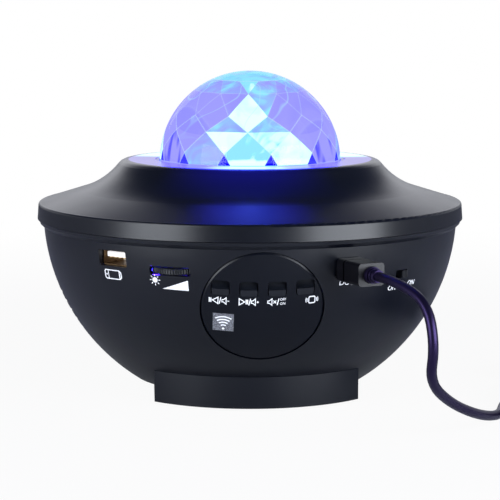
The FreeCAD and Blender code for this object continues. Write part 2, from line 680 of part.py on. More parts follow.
def key(index):
    """A key: a flush tab below, a scoop for the fingertip above it, and a flange behind the panel."""
    u = KEY_US[index]
    place = PANEL_PLACE.multiply(FreeCAD.Placement(V(u, 0, 0), FreeCAD.Rotation()))
    cap = placed(key_window(), place).common(bowl_solid(-KEY_PROUD, 2, SEAM_Z))
    above = placed(block(20, 20, 30, V(0, KEY_V, -KEY_FLANGE_DEPTH - 0.1)), place)
    cap = cap.common(above)
    scoop_r = 3.4
    scoop_v = KEY_V - KEY_HEIGHT / 2 + KEY_TAB_HEIGHT + scoop_r
    sag = KEY_SCOOP_LIFT - (u * u + KEY_V * KEY_V) / (2 * BOWL_ARC_RADIUS)
    scoop = Part.makeCylinder(scoop_r, 12, V(-6, scoop_v, sag), V(1, 0, 0))
    cap = cap.cut(placed(scoop, place))
    flange = rounded_block(KEY_WIDTH + 1.0, KEY_HEIGHT + 1.2, 0.8, 0.8, V(0, KEY_V, -KEY_FLANGE_DEPTH - 0.9))
    return joined([cap, placed(flange, place)])


def button_board():
    """The board behind the keys, its outline inside the panel's rim."""
    face = -KEY_BOARD_DEPTH - BOARD_THICKNESS
    body = Part.makeCylinder(PANEL_RADIUS - 3.2, BOARD_THICKNESS, V(0, 0, face))
    body = body.common(block(60, 27, 10, V(0, 0, face - 1)))
    holes = [Part.makeCylinder(1.0, 4, V(x, POST_V, face - 1)) for x in POST_US]
    return placed(body.cut(holes), PANEL_PLACE)


def tact_switches():
    top = -KEY_FLANGE_DEPTH - 0.9 - KEY_TRAVEL - 0.15
    parts = []
    for u in KEY_US:
        u = max(-KEY_SWITCH_LIMIT, min(KEY_SWITCH_LIMIT, u))
        body = rounded_block(5.2, 5.2, 2.6, 0.4, V(u, KEY_V - 0.6, -KEY_BOARD_DEPTH))
        plunger = Part.makeCylinder(1.5, top + KEY_BOARD_DEPTH, V(u, KEY_V - 0.6, -KEY_BOARD_DEPTH))
        parts.append(placed(joined([body, plunger]), PANEL_PLACE))
    return group(parts)


def infrared_receiver():
    body = rounded_block(5.0, 6.0, 3.0, 0.4, V(-13.0, -5.0, -KEY_BOARD_DEPTH))
    lens = Part.makeCylinder(1.7, 3.6, V(-13.0, -4.4, -KEY_BOARD_DEPTH))
    return placed(joined([body, lens]), PANEL_PLACE)


def panel_screws():
    flipped = FreeCAD.Rotation(V(1, 0, 0), 180)
    seat = -KEY_BOARD_DEPTH - BOARD_THICKNESS
    return group([
        placed(screw(0.8, 6.0, 1.8, 1.2), PANEL_PLACE.multiply(FreeCAD.Placement(V(x, POST_V, seat), flipped)))
        for x in POST_US
    ])


def main_board():
    """A curved board along the front wall that carries the ports, the dial and the switch."""
    outer = bowl_radius(BOARD_BOTTOM_Z, WALL) - BOARD_SETBACK
    body = tube(outer, BOARD_INNER_RADIUS, BOARD_THICKNESS, V(0, 0, BOARD_BOTTOM_Z))
    reach = 2 * LIP_RADIUS
    left = on_circle(reach, BOARD_AZIMUTHS[0])
    middle = on_circle(reach, 0)
    right = on_circle(reach, BOARD_AZIMUTHS[1])
    wedge = facet(V(0, 0, 0), left, middle, right).extrude(V(0, 0, COVER_TOP_Z))
    body = body.common(wedge)
    notch_r = PANEL_RADIUS + PANEL_GAP + 2.2
    notch = placed(Part.makeCylinder(notch_r, 30, V(0, 0, -16)), PANEL_PLACE)
    wheel = Part.makeCylinder(DIAL_RADIUS + 0.8, 8, DIAL_CENTRE - V(0, 0, 4))
    holes = pillars(BOARD_POST_AZIMUTHS, BOARD_POST_RADIUS, 1.5, BOARD_BOTTOM_Z - 1, BOARD_TOP_Z + 1)
    socket = placed(block(SOCKET_WIDTH + 0.4, 8, 14, V(0, 0, -RECESS_DEPTH - 6.6)), SOCKET_PLACE)
    return body.cut([notch, wheel, socket] + holes)


def board_screws():
    return group([
        placed(screw(1.0, 7.0, 2.1, 1.3), FreeCAD.Placement(on_circle(BOARD_POST_RADIUS, a, BOARD_TOP_Z), FreeCAD.Rotation()))
        for a in BOARD_POST_AZIMUTHS
    ])


def board_parts():
    """The larger parts on the main board: an amplifier, a radio module and two capacitors."""
    turn = FreeCAD.Rotation(UP, 8)
    amplifier = rounded_block(8, 6, 1.7, 0.3, V(0, -55, BOARD_TOP_Z))
    radio = placed(rounded_block(13, 9, 2.2, 0.4), FreeCAD.Placement(on_circle(57, 16, BOARD_TOP_Z), turn))
    cans = [
        turned((0, 0), (3.1, 0), (3.1, 5.8), (2.7, 6.2), (0, 6.2)) for _ in range(2)
    ]
    cans = [
        placed(can, FreeCAD.Placement(on_circle(56, a, BOARD_TOP_Z), FreeCAD.Rotation()))
        for can, a in zip(cans, (-14, -23))
    ]
    return group([amplifier, radio] + cans)


def usb_socket_shell():
    body = rounded_block(USB_WIDTH, USB_HEIGHT, USB_DEPTH, 0.6, V(0, 0, -USB_DEPTH - PORT_SETBACK))
    bore = rounded_block(USB_WIDTH - 0.8, USB_HEIGHT - 0.8, USB_DEPTH, 0.3, V(0, 0, -USB_DEPTH - PORT_SETBACK + 0.4))
    drop = SEAM_Z - USB_BELOW_SEAM - BOARD_TOP_Z
    legs = [block(1.0, drop - 2.0, 3.0, V(x, -(drop + 2.0) / 2, -9.0 - PORT_SETBACK)) for x in (-6.0, 6.0)]
    return placed(joined([body.cut(bore)] + legs), USB_PLACE)


def usb_socket_tongue():
    rear = -USB_DEPTH - PORT_SETBACK + 0.45
    back = block(USB_WIDTH - 1.0, USB_HEIGHT - 1.0, 3.0, V(0, 0, rear))
    tongue = rounded_block(11.1, 1.9, USB_DEPTH - 1.6, 0.3, V(0, 1.05, rear))
    return placed(joined([back, tongue]), USB_PLACE)


def usb_contacts():
    strips = [
        block(1.0, 0.3, 7.0, V(x, 1.05 - 0.95 - 0.15, -10.0)) for x in (-3.5, -1.0, 1.0, 3.5)
    ]
    return placed(group(strips), USB_PLACE)


def brightness_dial():
    """A flat wheel with a ribbed rim and a bore for the shaft of its potentiometer."""
    base = DIAL_CENTRE - V(0, 0, DIAL_THICKNESS / 2)
    wheel = Part.makeCylinder(DIAL_RADIUS, DIAL_THICKNESS, base)
    wheel = wheel.makeChamfer(0.35, [e for e in wheel.Edges if e.Curve.TypeId == "Part::GeomCircle"])
    dish = Part.makeCylinder(DIAL_RADIUS - 2.4, 0.7, base + V(0, 0, DIAL_THICKNESS - 0.7))
    grooves = []
    for k in range(DIAL_RIBS):
        a = math.radians(360.0 / DIAL_RIBS * k)
        groove = block(2 * DIAL_RIB_DEPTH, 2 * DIAL_RIB_DEPTH, DIAL_THICKNESS + 1, V(0, 0, -0.5))
        groove = placed(groove, FreeCAD.Placement(V(0, 0, 0), FreeCAD.Rotation(UP, 45)))
        grooves.append(placed(groove, FreeCAD.Placement(
            base + V(DIAL_RADIUS * math.cos(a), DIAL_RADIUS * math.sin(a), 0), FreeCAD.Rotation(UP, math.degrees(a))
        )))
    bore = Part.makeCylinder(DIAL_SHAFT_RADIUS + SHAFT_CLEARANCE, DIAL_THICKNESS + 1, base - V(0, 0, 0.5))
    return wheel.cut(grooves + [dish, bore])


def dial_potentiometer():
    """The potentiometer under the dial, soldered below the board, its shaft up through the dial."""
    top = DIAL_CENTRE.z - DIAL_THICKNESS / 2 - 0.3
    under = BOARD_BOTTOM_Z
    body_h = 3.4
    low = min(top, under) - body_h
    can = Part.makeCylinder(POT_RADIUS, body_h, V(DIAL_CENTRE.x, DIAL_CENTRE.y, low))
    inward = on_circle(1, DIAL_AZIMUTH)
    tab = placed(block(9, 14, under - low), FreeCAD.Placement(
        V(DIAL_CENTRE.x, DIAL_CENTRE.y, low) - inward * 11.5, FreeCAD.Rotation(UP, DIAL_AZIMUTH)
    ))
    reach = Part.makeCylinder(DIAL_RADIUS + 0.8, 9, DIAL_CENTRE - V(0, 0, DIAL_THICKNESS / 2 + 0.3))
    shaft = Part.makeCylinder(DIAL_SHAFT_RADIUS, DIAL_CENTRE.z + DIAL_THICKNESS / 2 - low, V(DIAL_CENTRE.x, DIAL_CENTRE.y, low))
    return joined([can, tab.cut(reach), shaft])


def power_socket():
    """The supply socket behind its recess in the wall: a shell with a mouth for the plug's tip."""
    rest = BOARD_TOP_Z - (SEAM_Z - SOCKET_BELOW_SEAM)
    body = block(SOCKET_WIDTH, 3.6, 6.0, V(0, 0, -RECESS_DEPTH - 6.4))
    ears = block(SOCKET_WIDTH + 3.6, 0.8, 4.0, V(0, rest + 0.4, -RECESS_DEPTH - 6.2))
    mouth = rounded_block(TIP_WIDTH + 0.3, TIP_HEIGHT + 0.3, 6.0, 0.5, V(0, 0, -RECESS_DEPTH - 5.9))
    return placed(joined([body, ears]).cut(mouth), SOCKET_PLACE)


def power_switch_body():
    """The slide switch under the board's front edge, open at the front for its slider."""
    top = BOARD_BOTTOM_Z - (SEAM_Z - SWITCH_BELOW_SEAM)
    height = 2 * 2.6
    body = block(12.0, top + height / 2, 4.6, V(0, (top - height / 2) / 2, -SWITCH_DEPTH - 4.6))
    slot = block(SWITCH_KNOB_WIDTH + SWITCH_TRAVEL + 1.0, 2.4, 3.2, V(0, 0, -SWITCH_DEPTH - 3.1))
    return placed(body.cut(slot), SWITCH_PLACE)


def power_switch_slider():
    """The slider at its right-hand end, which is on, with three grip grooves across its face."""
    knob = rounded_block(SWITCH_KNOB_WIDTH, SWITCH_KNOB_HEIGHT, SWITCH_DEPTH + 0.6, 0.3, V(SWITCH_TRAVEL / 2, 0, -SWITCH_DEPTH + 0.2))
    stem = block(SWITCH_KNOB_WIDTH - 0.6, 1.8, 3.0, V(SWITCH_TRAVEL / 2, 0, -SWITCH_DEPTH - 2.6))
    grips = [
        block(0.35, SWITCH_KNOB_HEIGHT, 0.4, V(SWITCH_TRAVEL / 2 + x, 0, 0.45)) for x in (-0.8, 0.0, 0.8)
    ]
    return placed(joined([knob, stem]).cut(grips), SWITCH_PLACE)


def speaker_frame():
    """The basket: a flat flange on the wall's ring, a cone-shaped cage with four windows, and a seat."""
    seat = SPEAKER_SEAT - GASKET_THICKNESS
    body = turned(
        (SPEAKER_RADIUS + 1.6, seat), (SPEAKER_RADIUS + 1.6, seat - 1.0), (SPEAKER_RADIUS - 2.2, seat - 1.0),
        (11.0, seat - 9.0), (11.0, seat - 10.2), (0, seat - 10.2), (0, seat - 9.2), (10.0, seat - 9.2),
        (10.2, seat - 8.6), (SPEAKER_RADIUS - 3.0, seat - 0.2), (SPEAKER_RADIUS - 2.0, seat),
    )
    windows = []
    for k in range(4):
        window = block(10, 12, 6.0, V(0, 16, seat - 8.0))
        windows.append(placed(window, FreeCAD.Placement(V(0, 0, 0), FreeCAD.Rotation(UP, 90 * k))))
    centre = Part.makeCylinder(7.2, 3, V(0, 0, seat - 11))
    return placed(body.cut(windows + [centre]), SPEAKER_PLACE)


def speaker_gasket():
    seat = SPEAKER_SEAT - GASKET_THICKNESS
    return placed(tube(SPEAKER_RADIUS + 2.0, SPEAKER_RADIUS - 1.0, GASKET_THICKNESS, V(0, 0, seat)), SPEAKER_PLACE)


def speaker_magnet():
    """The plate, the ring magnet, the yoke with its pole, as one stack on the basket."""
    seat = SPEAKER_SEAT - GASKET_THICKNESS - 10.2
    stack = turned(
        (7.2, seat), (12.0, seat), (12.0, seat - 1.5), (13.0, seat - 1.5), (13.0, seat - 6.5),
        (12.4, seat - 6.5), (12.4, seat - 8.2), (0, seat - 8.2), (0, seat + 0.6), (5.4, seat + 0.6),
        (5.4, seat - 6.2), (7.2, seat - 6.2),
    )
    return placed(stack, SPEAKER_PLACE)


def speaker_surround():
    """The half-roll edge round the cone, glued to the basket's flange."""
    seat = SPEAKER_SEAT - GASKET_THICKNESS
    outer = SPEAKER_RADIUS - 1.4
    inner = CONE_RADIUS + FIT
    middle = (outer - 1.0 + inner) / 2
    height = (outer - 1.0 - inner) / 2
    roll = turned(
        (outer, seat), (outer, seat + 0.5), (outer - 1.0, seat + 0.5),
        ((middle, seat + height + 0.3), (inner, seat + 0.5)), (inner, seat),
        ((middle, seat + height - 0.3), (outer - 1.0, seat)),
    )
    return placed(roll, SPEAKER_PLACE)


def speaker_cone():
    """A paper cone with its dust cap and voice-coil former, one moving piece."""
    seat = SPEAKER_SEAT - GASKET_THICKNESS
    front = seat + 0.2
    body = turned(
        (CONE_RADIUS, front), (CONE_RADIUS, front - 0.5), (6.7, front - 5.6), (6.7, front - 12.0),
        (6.0, front - 12.0), (6.0, front - 5.0), (CONE_RADIUS - 1.0, front),
    )
    cap = turned((0, front - 3.0), (7.4, front - 4.6), (7.4, front - 4.1), crown(7.4, front - 4.1, front - 2.4))
    return placed(joined([body, cap]), SPEAKER_PLACE)


def light_deck():
    """The tray that carries the light parts, clamped between the pillars and the cover's bosses."""
    plate = Part.makeCylinder(DECK_RADIUS, DECK_THICKNESS, V(0, 0, DECK_Z))
    ears = pillars(PILLAR_AZIMUTHS, PILLAR_RADIUS, 4.6, DECK_Z, DECK_Z + DECK_THICKNESS)
    webs = [
        placed(block(9.2, PILLAR_RADIUS - 10, DECK_THICKNESS), FreeCAD.Placement(on_circle((PILLAR_RADIUS + 10) / 2, a, DECK_Z), FreeCAD.Rotation(UP, a)))
        for a in PILLAR_AZIMUTHS
    ]
    rim = tube(DECK_RADIUS, DECK_RADIUS - 1.6, 3.0, V(0, 0, DECK_Z + DECK_THICKNESS))
    motor = Part.makeCylinder(MOTOR_RADIUS + 1.0, DECK_THICKNESS, MOTOR_AXIS + V(0, 0, DECK_Z))
    motor = motor.fuse(block(2 * MOTOR_RADIUS + 12, 7, DECK_THICKNESS, MOTOR_AXIS + V(0, 0, DECK_Z)))
    pinion_room = Part.makeCylinder(PINION_TIP + 1.2, 5, MOTOR_AXIS + V(0, 0, DECK_Z + DECK_THICKNESS))
    deck = joined([plate, rim, motor] + ears + webs).cut(pinion_room)
    cuts = pillars(PILLAR_AZIMUTHS, PILLAR_RADIUS, SCREW_RADIUS + 0.1, DECK_Z, DECK_Z + DECK_THICKNESS)
    cuts.append(Part.makeCylinder(4.6, 8, MOTOR_AXIS + V(0, 0, DECK_Z - 1)))
    cuts += [Part.makeCylinder(0.9, 8, MOTOR_AXIS + V(x, 0, DECK_Z - 1)) for x in MOTOR_EARS]
    cuts.append(Part.makeCylinder(9.0, 8, V(0, LED_Y, DECK_Z - 1)))
    cuts.append(Part.makeCylinder(LASER_RADIUS + 1.6, 8, V(LASER_X, LASER_Y, DECK_Z - 1)))
    cuts.append(Part.makeCylinder(PIVOT_RADIUS, 8, V(0, 0, DECK_Z - 1)))
    return deck.cut(cuts)


def pivot_pin():
    """The fixed pin that the ripple disc turns on, with a collar below it and a head above."""
    low = DECK_Z
    seat = DISC_Z - 0.3
    top = DISC_Z + DISC_THICKNESS
    return turned(
        (0, low), (PIVOT_RADIUS, low), (PIVOT_RADIUS, DECK_Z + DECK_THICKNESS), (3.0, DECK_Z + DECK_THICKNESS),
        (3.0, seat), (PIVOT_RADIUS, seat), (PIVOT_RADIUS, top + 0.3), (2.6, top + 0.3), (2.6, top + 1.0), (0, top + 1.0),
    )


def involute_outline(teeth, clearance_share):
    """The plan of a spur wheel: each flank is an involute of the base circle, thinned for backlash."""
    pitch_r = TOOTH_MODULE * teeth / 2
    base_r = pitch_r * math.cos(math.radians(PRESSURE_ANGLE))
    tip_r = pitch_r + TOOTH_MODULE * 0.92
    root_r = pitch_r - TOOTH_MODULE * 1.25
    start_r = max(base_r, root_r)

    def inv(r):
        roll = math.sqrt(max((r / base_r) ** 2 - 1, 0))
        return roll - math.atan(roll)

    half = math.pi / (2 * teeth) - clearance_share * TOOTH_BACKLASH / (2 * pitch_r) + inv(pitch_r)
    radii = [start_r + (tip_r - start_r) * k / 3 for k in range(4)]
    points = []
    for k in range(teeth):
        middle = 2 * math.pi * k / teeth
        left = [(r, middle - half + inv(r)) for r in radii]
        right = [(r, middle + half - inv(r)) for r in reversed(radii)]
        ring = left + right
        if start_r > root_r:
            ring = [(root_r, ring[0][1])] + ring + [(root_r, ring[-1][1])]
        points += [V(r * math.cos(a), r * math.sin(a), 0) for r, a in ring]
    return Part.Face(Part.makePolygon(points + [points[0]]))


def wave_disc():
    """A clear toothed disc with rippled top, which bends the light into drifting waves."""
    body = involute_outline(DISC_TEETH, 0.5).extrude(V(0, 0, DISC_THICKNESS))
    ripples = []
    for k in range(RIPPLES):
        a = 360.0 / RIPPLES * k
        trough = Part.makeCylinder(RIPPLE_RADIUS, 21.0, V(0, -5.5, DISC_THICKNESS + RIPPLE_RADIUS - RIPPLE_DEPTH), V(0, -1, 0))
        ripples.append(placed(trough, FreeCAD.Placement(V(0, 0, 0), FreeCAD.Rotation(UP, a))))
    bore = Part.makeCylinder(PIVOT_RADIUS + SHAFT_CLEARANCE, DISC_THICKNESS)
    body = body.cut(ripples + [bore])
    body = placed(body, FreeCAD.Placement(V(0, 0, 0), FreeCAD.Rotation(UP, 90)))
    return placed(body, FreeCAD.Placement(V(0, 0, DISC_Z), FreeCAD.Rotation()))


def drive_pinion():
    height = DISC_THICKNESS + 1.6
    body = involute_outline(PINION_TEETH, 0.5).extrude(V(0, 0, height))
    boss = Part.makeCylinder(3.4, 3.0, V(0, 0, -3.0))
    bore = Part.makeCylinder(MOTOR_SHAFT_RADIUS, height + 3, V(0, 0, -3.0))
    body = joined([body, boss]).cut(bore)
    turn = -90.0 + 180.0 / PINION_TEETH
    return placed(body, FreeCAD.Placement(MOTOR_AXIS + V(0, 0, DISC_Z - 0.8), FreeCAD.Rotation(UP, turn)))


def gear_motor():
    """The small geared motor under the deck, with two mounting ears."""
    top = DECK_Z
    can = Part.makeCylinder(MOTOR_RADIUS, MOTOR_HEIGHT, MOTOR_AXIS + V(0, 0, top - MOTOR_HEIGHT))
    can = can.makeChamfer(0.8, [e for e in can.Edges if e.Curve.TypeId == "Part::GeomCircle"])
    boss = Part.makeCylinder(4.3, 1.6, MOTOR_AXIS + V(0, 0, top))
    ears = []
    for x in (-MOTOR_RADIUS - 2.0, MOTOR_RADIUS + 2.0):
        ears.append(rounded_block(7.0, 6.0, 1.0, 1.0, MOTOR_AXIS + V(x, 0, top - 1.0)))
    holes = [Part.makeCylinder(1.1, 3, MOTOR_AXIS + V(x, 0, top - 2)) for x in MOTOR_EARS]
    return joined([can, boss] + ears).cut(holes + [Part.makeCylinder(MOTOR_SHAFT_RADIUS + SHAFT_CLEARANCE, 9, MOTOR_AXIS + V(0, 0, top - 7))])


def motor_shaft():
    low = DECK_Z - 6.5
    top = DISC_Z - 0.8 + DISC_THICKNESS + 1.6
    return Part.makeCylinder(MOTOR_SHAFT_RADIUS, top - low, MOTOR_AXIS + V(0, 0, low))


def heat_sink():
    """A finned block under the lamp board."""
    body = block(22, 18, 8, V(0, LED_Y, DECK_Z - 10))
    body = body.cut([block(1.6, 20, 6, V(x, LED_Y, DECK_Z - 10)) for x in (-7.5, -4.5, -1.5, 1.5, 4.5, 7.5)])
    neck = Part.makeCylinder(8.6, 2 + DECK_THICKNESS, V(0, LED_Y, DECK_Z - 2))
    return joined([body, neck])


def led_board():
    return Part.makeCylinder(10.5, 1.2, V(0, LED_Y, DECK_Z + DECK_THICKNESS)).cut([
        block(2.4, 3.0, 2, V(x, LED_Y, DECK_Z + DECK_THICKNESS - 0.5)) for x in (-10.5, 10.5)
    ])


def led_emitters():
    top = DECK_Z + DECK_THICKNESS + 1.2
    dome = turned((0, 0), (1.75, 0), (1.75, 0.7), (1.3, 0.7), crown(1.3, 0.7, 2.0))
    spots = [(2.6, 2.6), (-2.6, 2.6), (2.6, -2.6), (-2.6, -2.6)]
    return group([placed(dome, FreeCAD.Placement(V(x, LED_Y + y, top), FreeCAD.Rotation())) for x, y in spots])


def collimator_lens():
    """A clear cup lens over the four lamps, on three legs round the board's edge."""
    low = DECK_Z + DECK_THICKNESS + 1.2
    return placed(turned(
        (6.6, 0), (7.6, 0), (9.6, 4.0), (11.0, 7.6), (11.0, 8.4), (9.5, 8.4), crown(9.5, 8.4, 9.6),
        (0, 4.2), (4.2, 3.6), (6.6, 2.6),
    ), FreeCAD.Placement(V(0, LED_Y, low), FreeCAD.Rotation()))


def laser_holder():
    """A clamp sleeve through the deck, with cooling ribs, that holds the laser barrel."""
    body = turned(
        (LASER_RADIUS + 0.02, DECK_Z - 6), (LASER_RADIUS + 3.4, DECK_Z - 6), (LASER_RADIUS + 3.4, DECK_Z),
        (LASER_RADIUS + 1.5, DECK_Z), (LASER_RADIUS + 1.5, DECK_Z + DECK_THICKNESS + 4), (LASER_RADIUS + 0.02, DECK_Z + DECK_THICKNESS + 4),
    )
    rings = [tube(LASER_RADIUS + 4, LASER_RADIUS + 2.2, 0.9, V(0, 0, DECK_Z - z)) for z in (2.2, 4.0, 5.8)]
    return placed(body.cut(rings), FreeCAD.Placement(V(LASER_X, LASER_Y, 0), FreeCAD.Rotation()))


def laser_module():
    low = DECK_Z - 9.0
    top = DECK_Z + DECK_THICKNESS + 5.0
    body = turned(
        (0, low), (LASER_RADIUS - 0.4, low), (LASER_RADIUS, low + 0.4), (LASER_RADIUS, top - 0.4), (LASER_RADIUS - 0.4, top),
        (1.6, top), (1.6, top - 1.5), (0, top - 1.5),
    )
    return placed(body, FreeCAD.Placement(V(LASER_X, LASER_Y, 0), FreeCAD.Rotation()))


def star_grating():
    """The square grating that splits the laser's beam into stars, in a slim cap on the barrel."""
    top = DECK_Z + DECK_THICKNESS + 5.0
    cap = rounded_block(7.6, 7.6, 1.2, 0.6, V(LASER_X, LASER_Y, top + 0.02))
    return cap


def power_plug():
    """The plug's moulding: a nose in the wall's mouth, a flange, a groove and a longer grip."""
    nose = rounded_block(NOSE_WIDTH, NOSE_HEIGHT, RECESS_DEPTH + PLUG_STAND, 1.2, V(0, 0, -RECESS_DEPTH + 0.4))
    body = rounded_block(PLUG_WIDTH, PLUG_HEIGHT, PLUG_LENGTH - PLUG_STAND, 1.4, V(0, 0, PLUG_STAND))
    collar = rounded_block(PLUG_WIDTH + 2, PLUG_HEIGHT + 2, 1.1, 1.4, V(0, 0, PLUG_STAND + 4.4))
    waist = rounded_block(PLUG_WIDTH - 1.6, PLUG_HEIGHT - 1.6, 1.5, 0.9, V(0, 0, PLUG_STAND + 4.2))
    return placed(joined([nose, body]).cut(collar.cut(waist)), SOCKET_PLACE)


def power_plug_tip():
    base = -RECESS_DEPTH + 0.4
    return placed(rounded_block(TIP_WIDTH, TIP_HEIGHT, 5.2, 0.4, V(0, 0, base - 5.2)), SOCKET_PLACE)


def plug_strain_relief():
    """The tapered sleeve where the cable leaves the plug, with three ring grooves."""
    sleeve = turned(
        (0, 0), (3.1, 0), (3.1, 1.0), (CABLE_RADIUS + 0.45, PLUG_RELIEF_LENGTH), (0, PLUG_RELIEF_LENGTH),
    )
    grooves = [tube(4.0, CABLE_RADIUS + 0.5, 0.7, V(0, 0, z)) for z in (1.8, 3.2)]
    return placed(placed(sleeve.cut(grooves), FreeCAD.Placement(V(0, 0, PLUG_LENGTH), FreeCAD.Rotation())), SOCKET_PLACE)


def cable_path(points):
    """Straight runs joined by tangent arcs, each arc as large as its two runs allow."""
    edges = []
    here = points[0]
    radii = []
    for before, corner, after in zip(points, points[1:], points[2:]):
        one = (before - corner)
        two = (after - corner)
        shorter = min(one.Length, two.Length)
        turn = math.pi - one.getAngle(two)
        setback = 0.45 * shorter
        radius = setback / math.tan(turn / 2)
        radii.append(radius)
        a = corner + one.normalize() * setback
        b = corner + two.normalize() * setback
        bisector = ((a - corner) + (b - corner)).normalize()
        apex = corner + bisector * (radius / math.cos(turn / 2) - radius)
        edges.append(Part.LineSegment(here, a).toShape())
        edges.append(Part.Arc(a, apex, b).toShape())
        here = b
    edges.append(Part.LineSegment(here, points[-1]).toShape())
    return Part.Wire(edges), radii


def swept_tube(wire, radius, sides=0):
    """A tube along a path; with sides given, its section is a polygon of a round section's area."""
    start = wire.Edges[0]
    point = start.valueAt(start.FirstParameter)
    tangent = start.tangentAt(start.FirstParameter)
    if sides:
        side = UP.cross(tangent).normalize()
        upward = tangent.cross(side)
        corner = radius * math.sqrt(2 * math.pi / (sides * math.sin(2 * math.pi / sides)))
        ring = []
        for k in range(sides):
            a = 2 * math.pi * (k + 0.5) / sides
            ring.append(point + side * (corner * math.sin(a)) - upward * (corner * math.cos(a)))
        section = Part.makePolygon(ring + [ring[0]])
    else:
        section = Part.Wire([Part.makeCircle(radius, point, tangent)])
    return wire.makePipeShell([section], True, False)


def route_points():
    exits = [SOCKET_PLACE.multVec(V(0, 0, PLUG_LENGTH + PLUG_RELIEF_LENGTH + reach)) for reach in (0.0, FIRST_RUN)]
    start, direction = coil_state(0)
    meets = start - direction * COIL_LEAD
    return exits + [V(*p) for p in CABLE_ROUTE] + [meets - direction * LAST_RUN, meets]


def coil_state(quarter):
    """Where the coil's centreline is, and its direction, after a number of quarter turns.

    It spirals in on the lower layer and out on the upper one, and climbs in the half turn between.
    """
    pitch = 2 * CABLE_RADIUS + COIL_GAP
    last = 8 * COIL_TURNS
    middle = last / 2
    away = abs(quarter - middle)
    outer = COIL_MEAN_RADIUS + pitch * COIL_TURNS / 2
    r = outer - pitch * (middle - away) / 4
    growth = 0.0 if away < 0.01 else math.copysign(pitch / (2 * math.pi), quarter - middle)
    low = CABLE_RADIUS + TIE_THICKNESS + 0.1
    rise = min(max((quarter - middle + 1) / 2, 0.0), 1.0)
    z = low + pitch * rise
    steep = pitch * 1.5 / math.pi if away < 0.01 else 0.0
    a = math.radians(COIL_START - 90 * quarter)
    point = V(COIL_X + r * math.cos(a), COIL_Y + r * math.sin(a), z)
    tangent = V(math.sin(a) * r + growth * math.cos(a), -math.cos(a) * r + growth * math.sin(a), steep)
    return point, tangent.normalize()


def arc_from(a, tangent, b):
    """The arc from one point to another that leaves the first along a tangent."""
    chord = b - a
    length = chord.Length
    along = V(chord).normalize()
    lean = along.getAngle(tangent)
    if lean < 1e-7:
        return Part.LineSegment(a, b).toShape()
    apex = a + (along + tangent).normalize() * (length / 2 / math.cos(lean / 2))
    return Part.Arc(a, apex, b).toShape()


def biarc(p, t, q, u):
    """Two tangent arcs between two points with given directions."""
    v = q - p
    a = 2 * (1 - t.dot(u))
    b = 2 * v.dot(t + u)
    c = -v.dot(v)
    d = (-b + math.sqrt(b * b - 4 * a * c)) / (2 * a) if a > 1e-9 else -c / b
    joint = (p + t * d + q - u * d) * 0.5
    first = arc_from(p, t, joint)
    second = arc_from(q, u * -1, joint)
    return first, second


def cable_coil():
    """The put-away length, wound as one unbroken tube of two layers."""
    edges = []
    steps = 8 * COIL_TURNS
    start, direction = coil_state(0)
    edges.append(Part.LineSegment(start - direction * COIL_LEAD, start).toShape())
    for quarter in range(steps):
        p, t = coil_state(quarter)
        q, u = coil_state(quarter + 1)
        first, second = biarc(p, t, q, u)
        edges += [first, second]
    end, direction = coil_state(steps)
    over = end + direction * TAIL_STRAIGHT
    down = over + direction * TAIL_RAMP - UP * (end.z - FAR_PLUG_HEIGHT / 2)
    edges.append(Part.LineSegment(end, over).toShape())
    edges += biarc(over, direction, down, direction)
    edges.append(Part.LineSegment(down, down + direction * COIL_LEAD).toShape())
    wire = Part.Wire(edges)
    return swept_tube(wire, CABLE_RADIUS, CORD_SIDES), wire


def least_gap(wire, radius):
    """The least distance between stretches of a tube that aren't next to each other, on points."""
    points = wire.discretize(Distance=1.5)
    apart = math.ceil(4 * math.pi * radius / 1.5)
    least = math.inf
    for i, one in enumerate(points):
        for two in points[i + apart:]:
            least = min(least, one.distanceToPoint(two))
    return least - 2 * radius


def motor_screws():
    flipped = FreeCAD.Rotation(V(1, 0, 0), 180)
    return group([
        placed(screw(0.85, 3.4, 1.9, 1.2), FreeCAD.Placement(MOTOR_AXIS + V(x, 0, DECK_Z - 1.0), flipped))
        for x in MOTOR_EARS
    ])


def coil_end():
    """Where the straight end of the coil's tube stops, and its direction."""
    end, direction = coil_state(8 * COIL_TURNS)
    end = end + direction * (TAIL_STRAIGHT + TAIL_RAMP + COIL_LEAD)
    return V(end.x, end.y, FAR_PLUG_HEIGHT / 2), direction


def far_plug_parts():
    """The far end's plug: a moulded grip with a short neck, and a folded metal shell with two windows."""
    point, direction = coil_end()
    place = FreeCAD.Placement(point, FreeCAD.Rotation(UP.cross(direction), UP, direction, "XYZ"))
    neck = Part.makeCone(CABLE_RADIUS + 0.5, 3.2, 6.0)
    low = FAR_PLUG_HEIGHT / 2 - point.z
    grip = rounded_block(FAR_PLUG_WIDTH, FAR_PLUG_HEIGHT, 19.0, 1.4, V(0, low, 6.0))
    body = placed(joined([neck, grip]), place)
    shell = block(12.0, 4.5, 18.0, V(0, low, 20.0)).cut(block(11.3, 3.8, 12.0, V(0, low, 26.0)))
    shell = shell.cut([block(2.4, 6.0, 2.2, V(x, low, 29.5)) for x in (-3.0, 3.0)])
    body = body.cut(placed(block(12.0, 4.5, 10.0, V(0, low, 20.0)), place))
    tongue = placed(block(11.1, 1.8, 11.0, V(0, low - 0.95, 26.1)), place)
    return body, placed(shell, place), tongue


